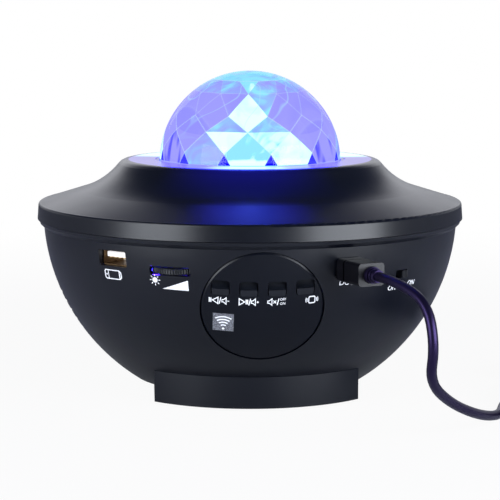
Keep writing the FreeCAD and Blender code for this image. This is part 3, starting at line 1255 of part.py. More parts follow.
def cable_tie():
    """A flat strap wrapped once round the coil's turns."""
    pitch = 2 * CABLE_RADIUS + COIL_GAP
    across = COIL_TURNS * pitch + 2 * CABLE_RADIUS + 1.4
    height = pitch + 2 * CABLE_RADIUS + 0.6
    a = math.radians(TIE_ANGLE)
    outer = rounded_block(across + 2 * TIE_THICKNESS, height + 2 * TIE_THICKNESS, 8.0, 2.2)
    inner = rounded_block(across, height, 8.0, 1.7)
    loop = outer.cut(inner)
    radial = V(math.cos(a), math.sin(a), 0)
    centre = V(COIL_X, COIL_Y, height / 2 + TIE_THICKNESS) + radial * (COIL_MEAN_RADIUS + 0.0)
    along = UP.cross(radial)
    place = FreeCAD.Placement(centre - along * -4.0, FreeCAD.Rotation(radial, UP, radial.cross(UP), "XYZ"))
    return placed(loop, place)


os.makedirs("parts", exist_ok=True)

save("lower_housing", lower_housing())
save("top_cover", cover_with_bosses())
save("base_foot", base_foot())
save("rubber_feet", rubber_feet())
save("foot_screws", foot_screws())
save("case_screws", case_screws())
save("dome_lens", dome_lens())
save("dome_retaining_ring", dome_retaining_ring())
save("dome_ring_screws", dome_ring_screws())
save("control_panel", control_panel())
KEY_NAMES = ("previous_key", "next_key", "mute_key", "mode_key")
for index, name in enumerate(KEY_NAMES):
    save(name, key(index))
save("button_board", button_board())
save("tact_switches", tact_switches())
save("infrared_receiver", infrared_receiver())
save("panel_screws", panel_screws())
save("main_board", main_board())
save("board_screws", board_screws())
save("board_parts", board_parts())
save("usb_socket_shell", usb_socket_shell())
save("usb_socket_tongue", usb_socket_tongue())
save("usb_contacts", usb_contacts())
save("brightness_dial", brightness_dial())
save("dial_potentiometer", dial_potentiometer())
save("power_socket", power_socket())
save("power_switch_body", power_switch_body())
save("power_switch_slider", power_switch_slider())
save("speaker_gasket", speaker_gasket())
save("speaker_frame", speaker_frame())
save("speaker_magnet", speaker_magnet())
save("speaker_surround", speaker_surround())
save("speaker_cone", speaker_cone())
save("light_deck", light_deck())
save("pivot_pin", pivot_pin())
save("wave_disc", wave_disc())
save("drive_pinion", drive_pinion())
save("motor_shaft", motor_shaft())
save("gear_motor", gear_motor())
save("motor_screws", motor_screws())
save("heat_sink", heat_sink())
save("led_board", led_board())
save("led_emitters", led_emitters())
save("collimator_lens", collimator_lens())
save("laser_holder", laser_holder())
save("laser_module", laser_module())
save("star_grating", star_grating())
save("power_plug", power_plug())
save("power_plug_tip", power_plug_tip())
save("plug_strain_relief", plug_strain_relief())

route, bend_radii = cable_path(route_points())
cable = swept_tube(route, CABLE_RADIUS)
save("power_cable", cable)
print("cable bend radii", [round(r, 1) for r in bend_radii], "mm")
section_area = math.pi * CABLE_RADIUS ** 2
print("cable volume over section times length", round(cable.Volume / (section_area * route.Length), 4))
coil, coil_wire = cable_coil()
save("cable_coil", coil)
print("coil volume over section times length", round(coil.Volume / (section_area * coil_wire.Length), 4))
print("cable length", round(route.Length + coil_wire.Length, 1), "mm, of which coiled", round(coil_wire.Length, 1))
print("coil's least gap to itself", round(least_gap(coil_wire, CABLE_RADIUS), 3), "mm")
save("cable_tie", cable_tie())
plug_grip, plug_shell, plug_tongue = far_plug_parts()
save("usb_plug_grip", plug_grip)
save("usb_plug_shell", plug_shell)
save("usb_plug_tongue", plug_tongue)
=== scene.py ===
"""Looks for a star night light projector, laid out as a Blender add-on.

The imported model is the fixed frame. Each operator below finishes one piece or one group of like pieces.
Lengths in the marks' drawings and in the cable's route are in millimetres. All other lengths are in metres.
"""

import math

import bmesh
import bpy
from bpy.props import FloatProperty, FloatVectorProperty, PointerProperty
from mathutils import Matrix, Vector


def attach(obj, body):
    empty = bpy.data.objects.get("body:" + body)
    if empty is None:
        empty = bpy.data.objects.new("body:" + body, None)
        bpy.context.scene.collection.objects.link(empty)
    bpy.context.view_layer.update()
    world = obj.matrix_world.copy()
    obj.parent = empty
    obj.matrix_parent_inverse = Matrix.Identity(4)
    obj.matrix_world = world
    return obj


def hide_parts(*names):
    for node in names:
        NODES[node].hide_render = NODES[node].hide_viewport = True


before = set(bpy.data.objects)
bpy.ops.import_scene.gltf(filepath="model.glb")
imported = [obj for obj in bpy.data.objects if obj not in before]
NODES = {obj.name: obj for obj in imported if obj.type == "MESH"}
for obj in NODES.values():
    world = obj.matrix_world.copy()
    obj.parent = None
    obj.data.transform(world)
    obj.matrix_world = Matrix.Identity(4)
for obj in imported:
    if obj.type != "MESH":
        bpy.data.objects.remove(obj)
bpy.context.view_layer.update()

bl_info = {
    "name": "Star night light projector",
    "version": (1, 0, 0),
    "blender": (4, 5, 0),
    "location": "View3D > Sidebar > Night light",
    "description": "Finishes the pieces of a star night light projector and sets its stage",
    "category": "Object",
}

MM = 0.001

# The bowl's outer surface, in millimetres: an arc about a point near the axis, turned round it
BOWL_ARC_R = 2.79
BOWL_ARC_Z = 70.05
BOWL_ARC_RADIUS = 79.36

# The dome's centre, and the distance from it that only the smooth outer skin is past
DOME_CENTRE = (0.0, 0.0, 0.0887)
DOME_SKIN = 0.0351

# Three groups of lamps shine round the dome; turns in degrees, negative to the left of the panel
GROUP_TURN = -5.0
HALF_GROUP = 60.0
BETWEEN_GROUPS = 45.0
RIM_GLOW_TURN = 6.0
GLOW_BLUE = 9.0
ACRYLIC_IOR = 1.49

# Rows of facets: how far up a row faces, then pairs of a turn and the brightness from there on
LEAN_SLACK = 0.012
NARROW_LEAN = 0.013
FLANK_LEAN = 0.167
FACET_ROWS = (
    (FLANK_LEAN, (-60, 0.06), (-45, 0.22), (-15, 0.58), (15, 0.84), (45, 0.06)),
    (0.410, (-60, 0.0), (-30, 1.0), (0, 0.74), (30, 0.0)),
    (0.379, (-60, 0.0), (-30, 0.30), (0, 0.36), (30, 0.0)),
    (0.608, (-60, 0.0), (-15, 0.96), (15, 0.0)),
    (0.698, (-60, 0.0), (-30, 0.10), (0, 0.34), (30, 0.0)),
    (0.832, (-60, 0.22), (-30, 0.34), (30, 0.2)),
    (0.871, (-60, 0.34), (-15, 0.62), (15, 0.3)),
    (1.0, (-60, 0.52), (60, 0.52)),
)

# Where the dome's light is painted on the cover: the collar's top, and the wall that falls away from it
COLLAR_TOP_Z = (0.0892, 0.0896)
COLLAR_TOP_R = (0.0480, 0.0486)
COLLAR_WALL_Z = (0.070, 0.0885)
COLLAR_WALL_R = (0.053, 0.064)

# Where the drawings sit on the wall: turn from the front in degrees, height in millimetres
PANEL_PLACE = (0, 41.0)
PHONE_PLACE = (-41.8, 52.0)
SUN_PLACE = (-28.75, 51.9)
WEDGE_PLACE = (-23.05, 50.35)
SUPPLY_PLACE = (23.2, 50.8)
OFF_PLACE = (38.5, 46.8)
ON_PLACE = (46.0, 47.7)

# The drawings themselves, in millimetres, and how a point of one is found on the wall behind it
KEY_ROW = 3.9
MARK_SQUEEZE = 0.95
MARK_HALF = 1.3
BAR_HALF = 0.95
SMALL_LETTERS = 1.35
WALL_LETTERS = 2.8
LONGEST_EDGE = 1.6
WALL_SEARCH = (-12.0, 6.0)
HALVINGS = 34

# The cable's route, from the plug's sleeve to the coil, in millimetres
CABLE_EXIT = (39.384, -95.081, 56.1)
CABLE_FIRST = (43.976, -106.168, 56.1)
CABLE_ROUTE = [
    (52.6, -120.4, 51.0),
    (54.4, -126.0, 37.0),
    (53.6, -120.6, 23.6),
    (63.0, -108.6, 13.6),
    (75.4, -96.6, 6.4),
    (86.0, -80.6, 2.4),
]
LAST_RUN = 16.0
COIL_LEAD = 3.6
COIL_X = 123.9
COIL_Y = -55.4
COIL_START = 159.0
COIL_MEAN_RADIUS = 21.6
COIL_PITCH = 4.05
COIL_TURNS = 3
COIL_LOW = 2.4
COIL_STEPS = 14
TAIL_STRAIGHT = 8.0
TAIL_RAMP = 18.0
PLUG_AXIS_Z = 4.2


class NightLightSizes(bpy.types.PropertyGroup):
    """Sizes that a user may change."""

    cable_diameter: FloatProperty(
        name="Cable diameter", description="Across the cable's jacket",
        default=0.0036, min=0.002, max=0.008, subtype="DISTANCE", unit="LENGTH",
    )
    cable_length: FloatProperty(
        name="Cable length", description="From plug to plug",
        default=0.9945, min=0.5, max=3.0, subtype="DISTANCE", unit="LENGTH",
    )
    mark_lift: FloatProperty(
        name="Mark lift", description="How far the printed marks stand off the plastic",
        default=0.00005, min=0.00001, max=0.0005, subtype="DISTANCE", unit="LENGTH",
    )
    mark_line: FloatProperty(
        name="Mark line", description="Width of the lines of the printed marks",
        default=0.00036, min=0.0001, max=0.001, subtype="DISTANCE", unit="LENGTH",
    )
    camera_distance: FloatProperty(
        name="Camera distance", description="From the bowl's axis to the camera, along the floor",
        default=0.7042, min=0.3, max=3.0, subtype="DISTANCE", unit="LENGTH",
    )
    camera_height: FloatProperty(
        name="Camera height", description="Of the camera above the floor",
        default=0.1486, min=0.0, max=2.0, subtype="DISTANCE", unit="LENGTH",
    )
    camera_turn: FloatProperty(
        name="Camera turn", description="How far the camera stands round to the left of the panel",
        default=math.radians(3.4), subtype="ANGLE", unit="ROTATION",
    )
    camera_tilt: FloatProperty(
        name="Camera tilt", description="How far the camera looks down",
        default=0.135, subtype="ANGLE", unit="ROTATION",
    )
    lens: FloatProperty(
        name="Lens", description="Focal length on a 36 mm sensor", default=127.446, min=10.0, max=300.0,
    )


class NightLightColours(bpy.types.PropertyGroup):
    """Colours that a user may change."""

    case: FloatVectorProperty(
        name="Case", description="Moulded plastic of the bowl, brim and foot",
        default=(0.0024, 0.0034, 0.0072), subtype="COLOR", min=0.0, max=1.0,
    )
    panel: FloatVectorProperty(
        name="Panel", description="Plastic of the control panel",
        default=(0.0012, 0.0022, 0.0058), subtype="COLOR", min=0.0, max=1.0,
    )
    ink: FloatVectorProperty(
        name="Ink", description="Printed marks",
        default=(0.82, 0.83, 0.86), subtype="COLOR", min=0.0, max=1.0,
    )
    glow: FloatVectorProperty(
        name="Glow", description="Light through the dome's side facets",
        default=(0.37, 0.36, 1.0), subtype="COLOR", min=0.0, max=1.0,
    )
    deep_glow: FloatVectorProperty(
        name="Deep glow", description="Light through the dome's narrow facets",
        default=(0.006, 0.0, 0.10), subtype="COLOR", min=0.0, max=1.0,
    )
    bright_glow: FloatVectorProperty(
        name="Bright glow", description="Light through the facets over the lamps",
        default=(0.31, 0.93, 0.90), subtype="COLOR", min=0.0, max=1.0,
    )
    cable: FloatVectorProperty(
        name="Cable", description="Jacket of the cable",
        default=(0.004, 0.003, 0.009), subtype="COLOR", min=0.0, max=1.0,
    )


def sizes():
    return bpy.context.scene.night_light_sizes


def colours():
    return bpy.context.scene.night_light_colours


# Node trees

def add(tree, kind, ready=None, **settings):
    """Adds a shader node; ready maps an input's name or number to a value or to a socket."""
    made = tree.nodes.new("ShaderNode" + kind)
    for key, value in settings.items():
        setattr(made, key, value)
    for key, value in (ready or {}).items():
        socket = made.inputs[key]
        if isinstance(value, bpy.types.NodeSocket):
            tree.links.new(value, socket)
        else:
            socket.default_value = value
    return made


def sums(tree, operation, *values, clamp=False):
    """A Math node's result."""
    return add(tree, "Math", dict(enumerate(values)), operation=operation, use_clamp=clamp).outputs[0]


def product(tree, one, other):
    return sums(tree, "MULTIPLY", one, other)


def spread(tree, value, low, high, to_low=0.0, to_high=1.0, smooth=False):
    """Maps one range onto another, held at its ends."""
    ready = {0: value, 1: low, 2: high, 3: to_low, 4: to_high}
    kind = "SMOOTHSTEP" if smooth else "LINEAR"
    return add(tree, "MapRange", ready, interpolation_type=kind, clamp=True).outputs[0]


def vector(tree, operation, one, other):
    """A Vector Math node of two vectors."""
    return add(tree, "VectorMath", {0: one, 1: other}, operation=operation)


def scaled(tree, colour, share):
    return add(tree, "VectorMath", {0: colour, "Scale": share}, operation="SCALE").outputs[0]


def distance(tree, place):
    return add(tree, "VectorMath", {0: place}, operation="LENGTH").outputs["Value"]


def mixed(tree, share, one, other):
    """A colour that goes from one to the other."""
    return add(tree, "MixRGB", {0: share, 1: one, 2: other}).outputs[0]


def shaders(tree, share, one, other):
    """A shader that goes from one to the other."""
    return add(tree, "MixShader", {0: share, 1: one, 2: other}).outputs[0]


def own_place(tree):
    """The point in the object's own coordinates."""
    return add(tree, "TexCoord").outputs["Object"]


def ramp(tree, value, *stops):
    """A colour ramp; a stop is a place from 0 to 1 and a colour."""
    made = add(tree, "ValToRGB", {0: value})
    elements = made.color_ramp.elements
    while len(elements) < len(stops):
        elements.new(0.5)
    for element, (place, colour) in zip(elements, stops):
        element.position = place
        element.color = (*colour[:3], 1.0)
    return made.outputs[0]


def noise(tree, place, scale, detail, bend=0.0):
    """Noise at a place; bend draws it out into swirls."""
    ready = {"Vector": place, "Scale": scale, "Detail": detail, "Distortion": bend}
    return add(tree, "TexNoise", ready).outputs["Fac"]


def shade(colour, share):
    return [min(1.0, max(0.0, c * share)) for c in colour[:3]]


def blank(name):
    """A new material and its empty node tree."""
    made = bpy.data.materials.new(name)
    made.use_nodes = True
    made.node_tree.nodes.clear()
    return made, made.node_tree


def finish(name, colour, roughness, metal=0.0, patch=(40.0, 0.16), grain=(2200.0, 0.12, 0.00006), **sockets):
    """A material with slightly uneven colour and gloss and a fine grain, all from noise.

    patch is the scale and the share of the colour's unevenness; grain is the scale, strength and depth
    of the bump. What is left over sets sockets of the shader by name, with _ for a space.
    """
    made, tree = blank(name)
    place = own_place(tree)
    uneven = noise(tree, place, patch[0], 4.0)
    tone = ramp(tree, uneven, (0.3, shade(colour, 1 - patch[1])), (0.7, shade(colour, 1 + patch[1])))
    gloss = spread(tree, uneven, 0.3, 0.7, roughness - 0.03, roughness + 0.03)
    grains = noise(tree, place, grain[0], 3.0)
    bump = add(tree, "Bump", {"Strength": grain[1], "Distance": grain[2], "Height": grains})
    shader = add(tree, "BsdfPrincipled", {
        "Base Color": tone, "Roughness": gloss, "Normal": bump.outputs[0], "Metallic": metal,
    })
    shader.name = "shader"
    for key, value in sockets.items():
        shader.inputs[key.replace("_", " ")].default_value = value
    add(tree, "OutputMaterial", {0: shader.outputs[0]})
    return made


def dress(material, *nodes):
    """Puts a material on every slot of some CAD nodes."""
    for name in nodes:
        mesh = NODES[name].data
        if not mesh.materials:
            mesh.materials.append(material)
        for index in range(len(mesh.materials)):
            mesh.materials[index] = material


# Finishes of this lamp's pieces

def case_plastic():
    return finish(
        "case_plastic", colours().case, 0.31, patch=(24.0, 0.14), grain=(2600.0, 0.10, 0.00005),
        Specular_IOR_Level=0.4,
    )


def group_turn(tree, across, ahead):
    """The turn round the axis, in degrees from the middle of the nearest group of lamps."""
    back = product(tree, ahead, -1.0)
    azimuth = product(tree, sums(tree, "ARCTAN2", across, back), 180.0 / math.pi)
    return sums(tree, "WRAP", sums(tree, "SUBTRACT", azimuth, GROUP_TURN), HALF_GROUP, -HALF_GROUP)


def painted_glow_plastic():
    """The case's plastic with the dome's light painted on the collar: a painted glow on its top, cyan-white
    in front of the lamps and violet elsewhere, and a painted blue sheen on the wall beneath it.
    """
    made = case_plastic()
    made.name = "painted_glow_plastic"
    tree = made.node_tree
    x, y, z = add(tree, "SeparateXYZ", {0: own_place(tree)}).outputs
    radius = sums(tree, "SQRT", sums(tree, "ADD", product(tree, x, x), product(tree, y, y)))
    turn = sums(tree, "ABSOLUTE", group_turn(tree, x, y))
    # Painted light: emission that stands in for the dome's glow on the collar's top and its blue sheen on the
    # wall.
    top = product(tree, spread(tree, z, *COLLAR_TOP_Z), spread(tree, radius, *COLLAR_TOP_R, 1.0, 0.0))
    front = spread(tree, turn, 9.0, 24.0, 1.0, 0.0, smooth=True)
    above = scaled(tree, mixed(tree, front, (0.20, 0.17, 0.48, 1.0), (0.62, 1.0, 1.0, 1.0)), top)
    rise = spread(tree, z, *COLLAR_WALL_Z, 0.25, 1.0)
    wall = product(tree, rise, spread(tree, radius, *COLLAR_WALL_R, 1.0, 0.0))
    wall = product(tree, wall, spread(tree, turn, 4.0, 40.0, 1.0, 0.0, smooth=True))
    below = scaled(tree, (0.0012, 0.0, 0.13), product(tree, wall, sums(tree, "SUBTRACT", 1.0, top)))
    shader = tree.nodes["shader"]
    tree.links.new(vector(tree, "ADD", below, above).outputs[0], shader.inputs["Emission Color"])
    shader.inputs["Emission Strength"].default_value = 1.0
    return made


def panel_plastic():
    return finish(
        "panel_plastic", colours().panel, 0.33, patch=(30.0, 0.14), grain=(3200.0, 0.10, 0.00004),
        Specular_IOR_Level=0.28,
    )


def facet_row(tree, lean, turn, row):
    """The brightness of one row of facets, and nothing off it."""
    height, *levels = row
    made = add(tree, "ValToRGB", {0: spread(tree, turn, -HALF_GROUP, HALF_GROUP)})
    made.color_ramp.interpolation = "CONSTANT"
    elements = made.color_ramp.elements
    while len(elements) < len(levels):
        elements.new(0.5)
    for element, (start, level) in zip(elements, levels):
        element.position = (start + HALF_GROUP) / (2 * HALF_GROUP)
        element.color = (level, level, level, 1.0)
    return product(tree, sums(tree, "COMPARE", lean, height, LEAN_SLACK), made.outputs[0])


def facet_level(tree, place, lean, height, turn):
    """How bright the dome's painted glow is, by facet, with a swirl in it and more at the rim over the lamps.
    """
    level = facet_row(tree, lean, turn, FACET_ROWS[0])
    for row in FACET_ROWS[1:]:
        level = sums(tree, "ADD", level, facet_row(tree, lean, turn, row))
    swirl = spread(tree, noise(tree, place, 90.0, 2.0, bend=1.8), 0.3, 0.7, -0.5, 0.5)
    wander = spread(tree, level, 0.02, 0.3, 0.05, 0.36)
    level = sums(tree, "ADD", level, product(tree, swirl, wander))
    low = spread(tree, height, 0.0012, 0.0040, 0.6, 0.0, smooth=True)
    aside = sums(tree, "ABSOLUTE", sums(tree, "SUBTRACT", turn, RIM_GLOW_TURN))
    near = spread(tree, aside, 10.0, 40.0, 1.0, 0.0)
    return sums(tree, "ADD", level, product(tree, low, near), clamp=True)


def facet_colour(tree, place, level, lean, height, turn):
    """Violet where the dome glows least, then cyan and white, with the deep blue of its narrow facets."""
    glow, bright = colours().glow, colours().bright_glow
    light = ramp(
        tree, level, (0.0, glow), (0.12, glow), (0.34, (0.32, 0.60, 0.95)), (0.50, bright), (0.64, bright),
        (0.78, (0.80, 0.99, 1.0)), (1.0, (1, 1, 1)),
    )
    upright = add(tree, "Mapping", {0: place, 3: (1.0, 1.0, 0.18)}).outputs[0]
    streak = spread(tree, noise(tree, upright, 260.0, 1.0), 0.50, 0.66, 0.0, 0.8)
    between = sums(tree, "GREATER_THAN", sums(tree, "ABSOLUTE", turn), BETWEEN_GROUPS)
    flank = product(tree, sums(tree, "COMPARE", lean, FLANK_LEAN, LEAN_SLACK), between)
    flank = product(tree, flank, streak)
    narrow = sums(tree, "COMPARE", lean, NARROW_LEAN, LEAN_SLACK)
    narrow = product(tree, narrow, sums(tree, "GREATER_THAN", height, 0.0009))
    share = sums(tree, "ADD", flank, narrow, clamp=True)
    return mixed(tree, share, light, (*colours().deep_glow, 1.0))


def painted_far_facet_lines(tree, place, height, light):
    """Painted thin bent lines of pale cyan, standing in for the far facets seen through the near ones."""
    ghosts = sums(tree, "ABSOLUTE", sums(tree, "SUBTRACT", noise(tree, place, 42.0, 1.0, bend=0.9), 0.5))
    thin = spread(tree, ghosts, 0.002, 0.014, 0.45, 0.0)
    thin = product(tree, thin, spread(tree, height, 0.008, 0.022))
    return mixed(tree, thin, light, (0.50, 0.90, 1.0, 1.0))


def painted_edge_highlights(tree, light):
    """Painted highlights along the edges between facets, where they would catch the light."""
    soft = add(tree, "Bevel", {"Radius": 0.0007}, samples=4).outputs[0]
    bend = vector(tree, "DISTANCE", soft, add(tree, "NewGeometry").outputs["Normal"]).outputs["Value"]
    return mixed(tree, spread(tree, bend, 0.04, 0.22, 0.0, 0.75), light, (0.70, 0.95, 1.0, 1.0))


def glowing_facets(tree, light, level):
    """The facets' glow, its blue far brighter than it shows, so that it reaches the cover."""
    power = add(tree, "CombineXYZ", {
        0: 1.0,
        1: spread(tree, level, 0.6, 1.0, 1.0, 1.7),
        2: spread(tree, level, 0.0, 1.0, GLOW_BLUE, 2 * GLOW_BLUE),
    }).outputs[0]
    strong = vector(tree, "MULTIPLY", light, power).outputs[0]
    lamp = add(tree, "Emission", {"Color": strong, "Strength": 1.0}).outputs[0]
    clear = add(tree, "BsdfTransparent", {0: (0.95, 0.96, 1.0, 1.0)}).outputs[0]
    return shaders(tree, 0.14, lamp, clear)


def dome_skin(tree):
    """The smooth outside: it bends what is behind it and has a gloss with a painted lavender tint, so that
    its reflections at the rim show lavender.
    """
    gloss = add(tree, "BsdfGlossy", {"Color": (0.62, 0.64, 1, 1), "Roughness": 0.05}).outputs[0]
    smooth = {"Color": (1, 1, 1, 1), "Roughness": 0.0, "IOR": ACRYLIC_IOR}
    bent = add(tree, "BsdfRefraction", smooth).outputs[0]
    sheen = add(tree, "Fresnel", {"IOR": ACRYLIC_IOR}).outputs[0]
    return shaders(tree, product(tree, sheen, 0.4), bent, gloss)


def clear_dome():
    """Clear plastic lit from inside: a glossy skin, and facets with a painted glow, set by where they face,
    that stands in for the light of the lamps inside.
    """
    made, tree = blank("clear_dome")
    place = own_place(tree)
    away = vector(tree, "SUBTRACT", place, DOME_CENTRE).outputs[0]
    height = add(tree, "SeparateXYZ", {0: away}).outputs[2]
    plain = add(tree, "NewGeometry").outputs["True Normal"]
    side = sums(tree, "SIGN", vector(tree, "DOT_PRODUCT", plain, away).outputs["Value"])
    across, ahead, lean = add(tree, "SeparateXYZ", {0: scaled(tree, plain, side)}).outputs
    turn = group_turn(tree, across, ahead)
    level = facet_level(tree, place, lean, height, turn)
    light = facet_colour(tree, place, level, lean, height, turn)
    light = painted_edge_highlights(tree, painted_far_facet_lines(tree, place, height, light))
    facets = glowing_facets(tree, light, level)
    outside = sums(tree, "GREATER_THAN", distance(tree, away), DOME_SKIN)
    add(tree, "OutputMaterial", {0: shaders(tree, outside, facets, dome_skin(tree))})
    return made


def ink_with_painted_glow():
    # The print's slight emission is a painted glow that makes the marks look brighter.
    return finish(
        "ink_with_painted_glow", colours().ink, 0.5, patch=(900.0, 0.05), grain=(4000.0, 0.05, 0.00001),
        Emission_Color=(0.9, 0.95, 1.0, 1.0), Emission_Strength=0.25,
    )


def speckled_ink():
    """Grey print with a fine speckle, for the receiver's window."""
    return finish(
        "speckled_ink", (0.17, 0.175, 0.20), 0.5, patch=(3000.0, 0.95), grain=(4000.0, 0.05, 0.00001),
    )


# Drawings on the wall, in millimetres

def bowl_radius(z):
    return BOWL_ARC_R + math.sqrt(BOWL_ARC_RADIUS ** 2 - (z - BOWL_ARC_Z) ** 2)


def wall_frame(azimuth, z):
    """The point, right, up and outward directions of the wall at an azimuth and a height."""
    a = math.radians(azimuth)
    tilt = math.asin((BOWL_ARC_Z - z) / BOWL_ARC_RADIUS)
    out = Vector((math.sin(a), -math.cos(a), 0))
    right = Vector((math.cos(a), math.sin(a), 0))
    up = Vector((0, 0, 1))
    along = up * math.cos(tilt) + out * math.sin(tilt)
    outward = out * math.cos(tilt) - up * math.sin(tilt)
    return out * bowl_radius(z) + up * z, right, along, outward


def on_wall(place, u, v, lift):
    """The point of the bowl's surface straight behind (u, v) of a flat drawing, lifted off it."""
    origin, right, up, out = place
    low, high = WALL_SEARCH
    for _ in range(HALVINGS):
        middle = (low + high) / 2
        point = origin + right * u + up * v + out * middle
        if math.hypot(point.x, point.y) > bowl_radius(point.z):
            high = middle
        else:
            low = middle
    return origin + right * u + up * v + out * (middle + lift)


def stroke(points, width, closed=False):
    """Quads along a bent line, mitred at its corners."""
    count = len(points)
    sides = []
    for index, (x, y) in enumerate(points):
        before = points[index - 1] if closed or index else None
        after = points[(index + 1) % count] if closed or index < count - 1 else None
        one = Vector((x - before[0], y - before[1])).normalized() if before else None
        two = Vector((after[0] - x, after[1] - y)).normalized() if after else None
        one = one or two
        two = two or one
        normal = Vector((-one.y - two.y, one.x + two.x)).normalized()
        reach = width / 2 / max(0.45, normal.dot(Vector((-one.y, one.x))))
        dx, dy = normal.x * reach, normal.y * reach
        sides.append(((x + dx, y + dy), (x - dx, y - dy)))
    last = count if closed else count - 1
    return [
        [sides[k][0], sides[k][1], sides[(k + 1) % count][1], sides[(k + 1) % count][0]] for k in range(last)
    ]


def arc(x, y, radius, first, last, steps=10):
    turns = [math.radians(first + (last - first) * k / steps) for k in range(steps + 1)]
    return [(x + radius * math.cos(t), y + radius * math.sin(t)) for t in turns]


def disc(x, y, radius):
    return [arc(x, y, radius, 0, 337.5, 15)]


def loudspeaker(x):
    """A loudspeaker's outline with its mouth to the right."""
    half = MARK_HALF
    back, neck, mouth = x, x + 0.42 * half, x + 1.2 * half
    upper = [(back, 0.35 * half), (neck, 0.35 * half), (mouth, half)]
    lower = [(mouth, -half), (neck, -0.35 * half)]
    return [(back, -0.35 * half)] + upper + lower


def bar(x, half, width):
    """An upright line."""
    return stroke([(x, -half), (x, half)], width)


def arrow(tip, foot, width):
    """A triangle's outline that points along the row."""
    return stroke([(tip, 0), (foot, MARK_HALF), (foot, -MARK_HALF)], width, closed=True)


def slash(x, width):
    return stroke([(x, -1.35), (x + 0.65, 1.35)], width)


def lettering(text, size):
    """The faces of a few letters, their middle at the origin."""
    curve = bpy.data.curves.new("lettering", "FONT")
    curve.body = text
    curve.size = size
    curve.offset = 0.012 * size
    curve.align_x = "CENTER"
    curve.align_y = "CENTER"
    curve.resolution_u = 3
    carrier = bpy.data.objects.new("lettering", curve)
    bpy.context.collection.objects.link(carrier)
    bpy.context.view_layer.update()
    mesh = bpy.data.meshes.new_from_object(carrier)
    faces = [[tuple(mesh.vertices[i].co[:2]) for i in face.vertices] for face in mesh.polygons]
    bpy.data.objects.remove(carrier)
    bpy.data.meshes.remove(mesh)
    return faces


def squeezed(faces, middle, share, tall=1.0):
    """A drawing made narrower about an upright line, and lower about its own middle."""
    return [[(middle + (u - middle) * share, v * tall) for u, v in face] for face in faces]


def moved(faces, x, y):
    return [[(u + x, v + y) for u, v in face] for face in faces]


def printed(name, place, faces, material, lift=0.0):
    """Lays a flat drawing on the wall as a thin printed piece that follows its curve."""
    made = bmesh.new()
    for face in faces:
        made.faces.new([made.verts.new((u, v, 0)) for u, v in face])
    bmesh.ops.remove_doubles(made, verts=made.verts, dist=0.0005)
    bmesh.ops.triangulate(made, faces=made.faces)
    for _ in range(3):
        long_edges = [edge for edge in made.edges if edge.calc_length() > LONGEST_EDGE]
        if long_edges:
            bmesh.ops.subdivide_edges(made, edges=long_edges, cuts=1)
            bmesh.ops.triangulate(made, faces=made.faces)
    out = place[3]
    stand = sizes().mark_lift / MM + lift
    for vertex in made.verts:
        vertex.co = on_wall(place, vertex.co.x, vertex.co.y, stand) * MM
    made.normal_update()
    for face in made.faces:
        if face.normal.dot(out) < 0:
            face.normal_flip()
    mesh = bpy.data.meshes.new(name)
    made.to_mesh(mesh)
    made.free()
    mesh.materials.append(material)
    piece = bpy.data.objects.new(name, mesh)
    bpy.context.collection.objects.link(piece)
    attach(piece, "case")


# The cable

def coil_point(turn):
    """The coil's centreline after some turns: in on the lower layer, out on the upper one."""
    away = abs(turn - COIL_TURNS)
    radius = COIL_MEAN_RADIUS + COIL_PITCH * COIL_TURNS / 2 - COIL_PITCH * (COIL_TURNS - away)
    rise = min(max((4 * (turn - COIL_TURNS) + 1) / 2, 0.0), 1.0)
    angle = math.radians(COIL_START - 360 * turn)
    x, y = COIL_X + radius * math.cos(angle), COIL_Y + radius * math.sin(angle)
    return Vector((x, y, COIL_LOW + COIL_PITCH * rise))


def coil_heading(turn):
    """The direction of the coil's centreline after some turns."""
    angle = math.radians(COIL_START - 360 * turn)
    radius = COIL_MEAN_RADIUS + COIL_PITCH * COIL_TURNS / 2
    growth = math.copysign(COIL_PITCH / (2 * math.pi), turn - COIL_TURNS)
    x = math.sin(angle) * radius + growth * math.cos(angle)
    y = -math.cos(angle) * radius + growth * math.sin(angle)
    return Vector((x, y, 0)).normalized()


def cable_points():
    """The points of the cable's spline: the route to the coil, its turns, and the tail to the far plug."""
    start, heading = coil_point(0), coil_heading(0)
    meets = start - heading * COIL_LEAD
    points = [CABLE_EXIT, CABLE_FIRST] + CABLE_ROUTE + [meets - heading * LAST_RUN, meets]
    fuller = 1 / math.cos(math.pi / COIL_STEPS)
    for k in range(2 * COIL_TURNS * COIL_STEPS + 1):
        point = coil_point(k / COIL_STEPS)
        if 0 < k < 2 * COIL_TURNS * COIL_STEPS:
            point.x = COIL_X + (point.x - COIL_X) * fuller
            point.y = COIL_Y + (point.y - COIL_Y) * fuller
        points.append(point)
    end, heading = coil_point(2 * COIL_TURNS), coil_heading(2 * COIL_TURNS)
    drop = Vector((0, 0, PLUG_AXIS_Z - end.z))
    over = end + heading * TAIL_STRAIGHT
    points.append(over)
    points.append(over + heading * TAIL_RAMP / 2 + drop / 2)
    points.append(over + heading * TAIL_RAMP + drop)
    points.append(over + heading * (TAIL_RAMP + COIL_LEAD) + drop)
    return points


# Operators

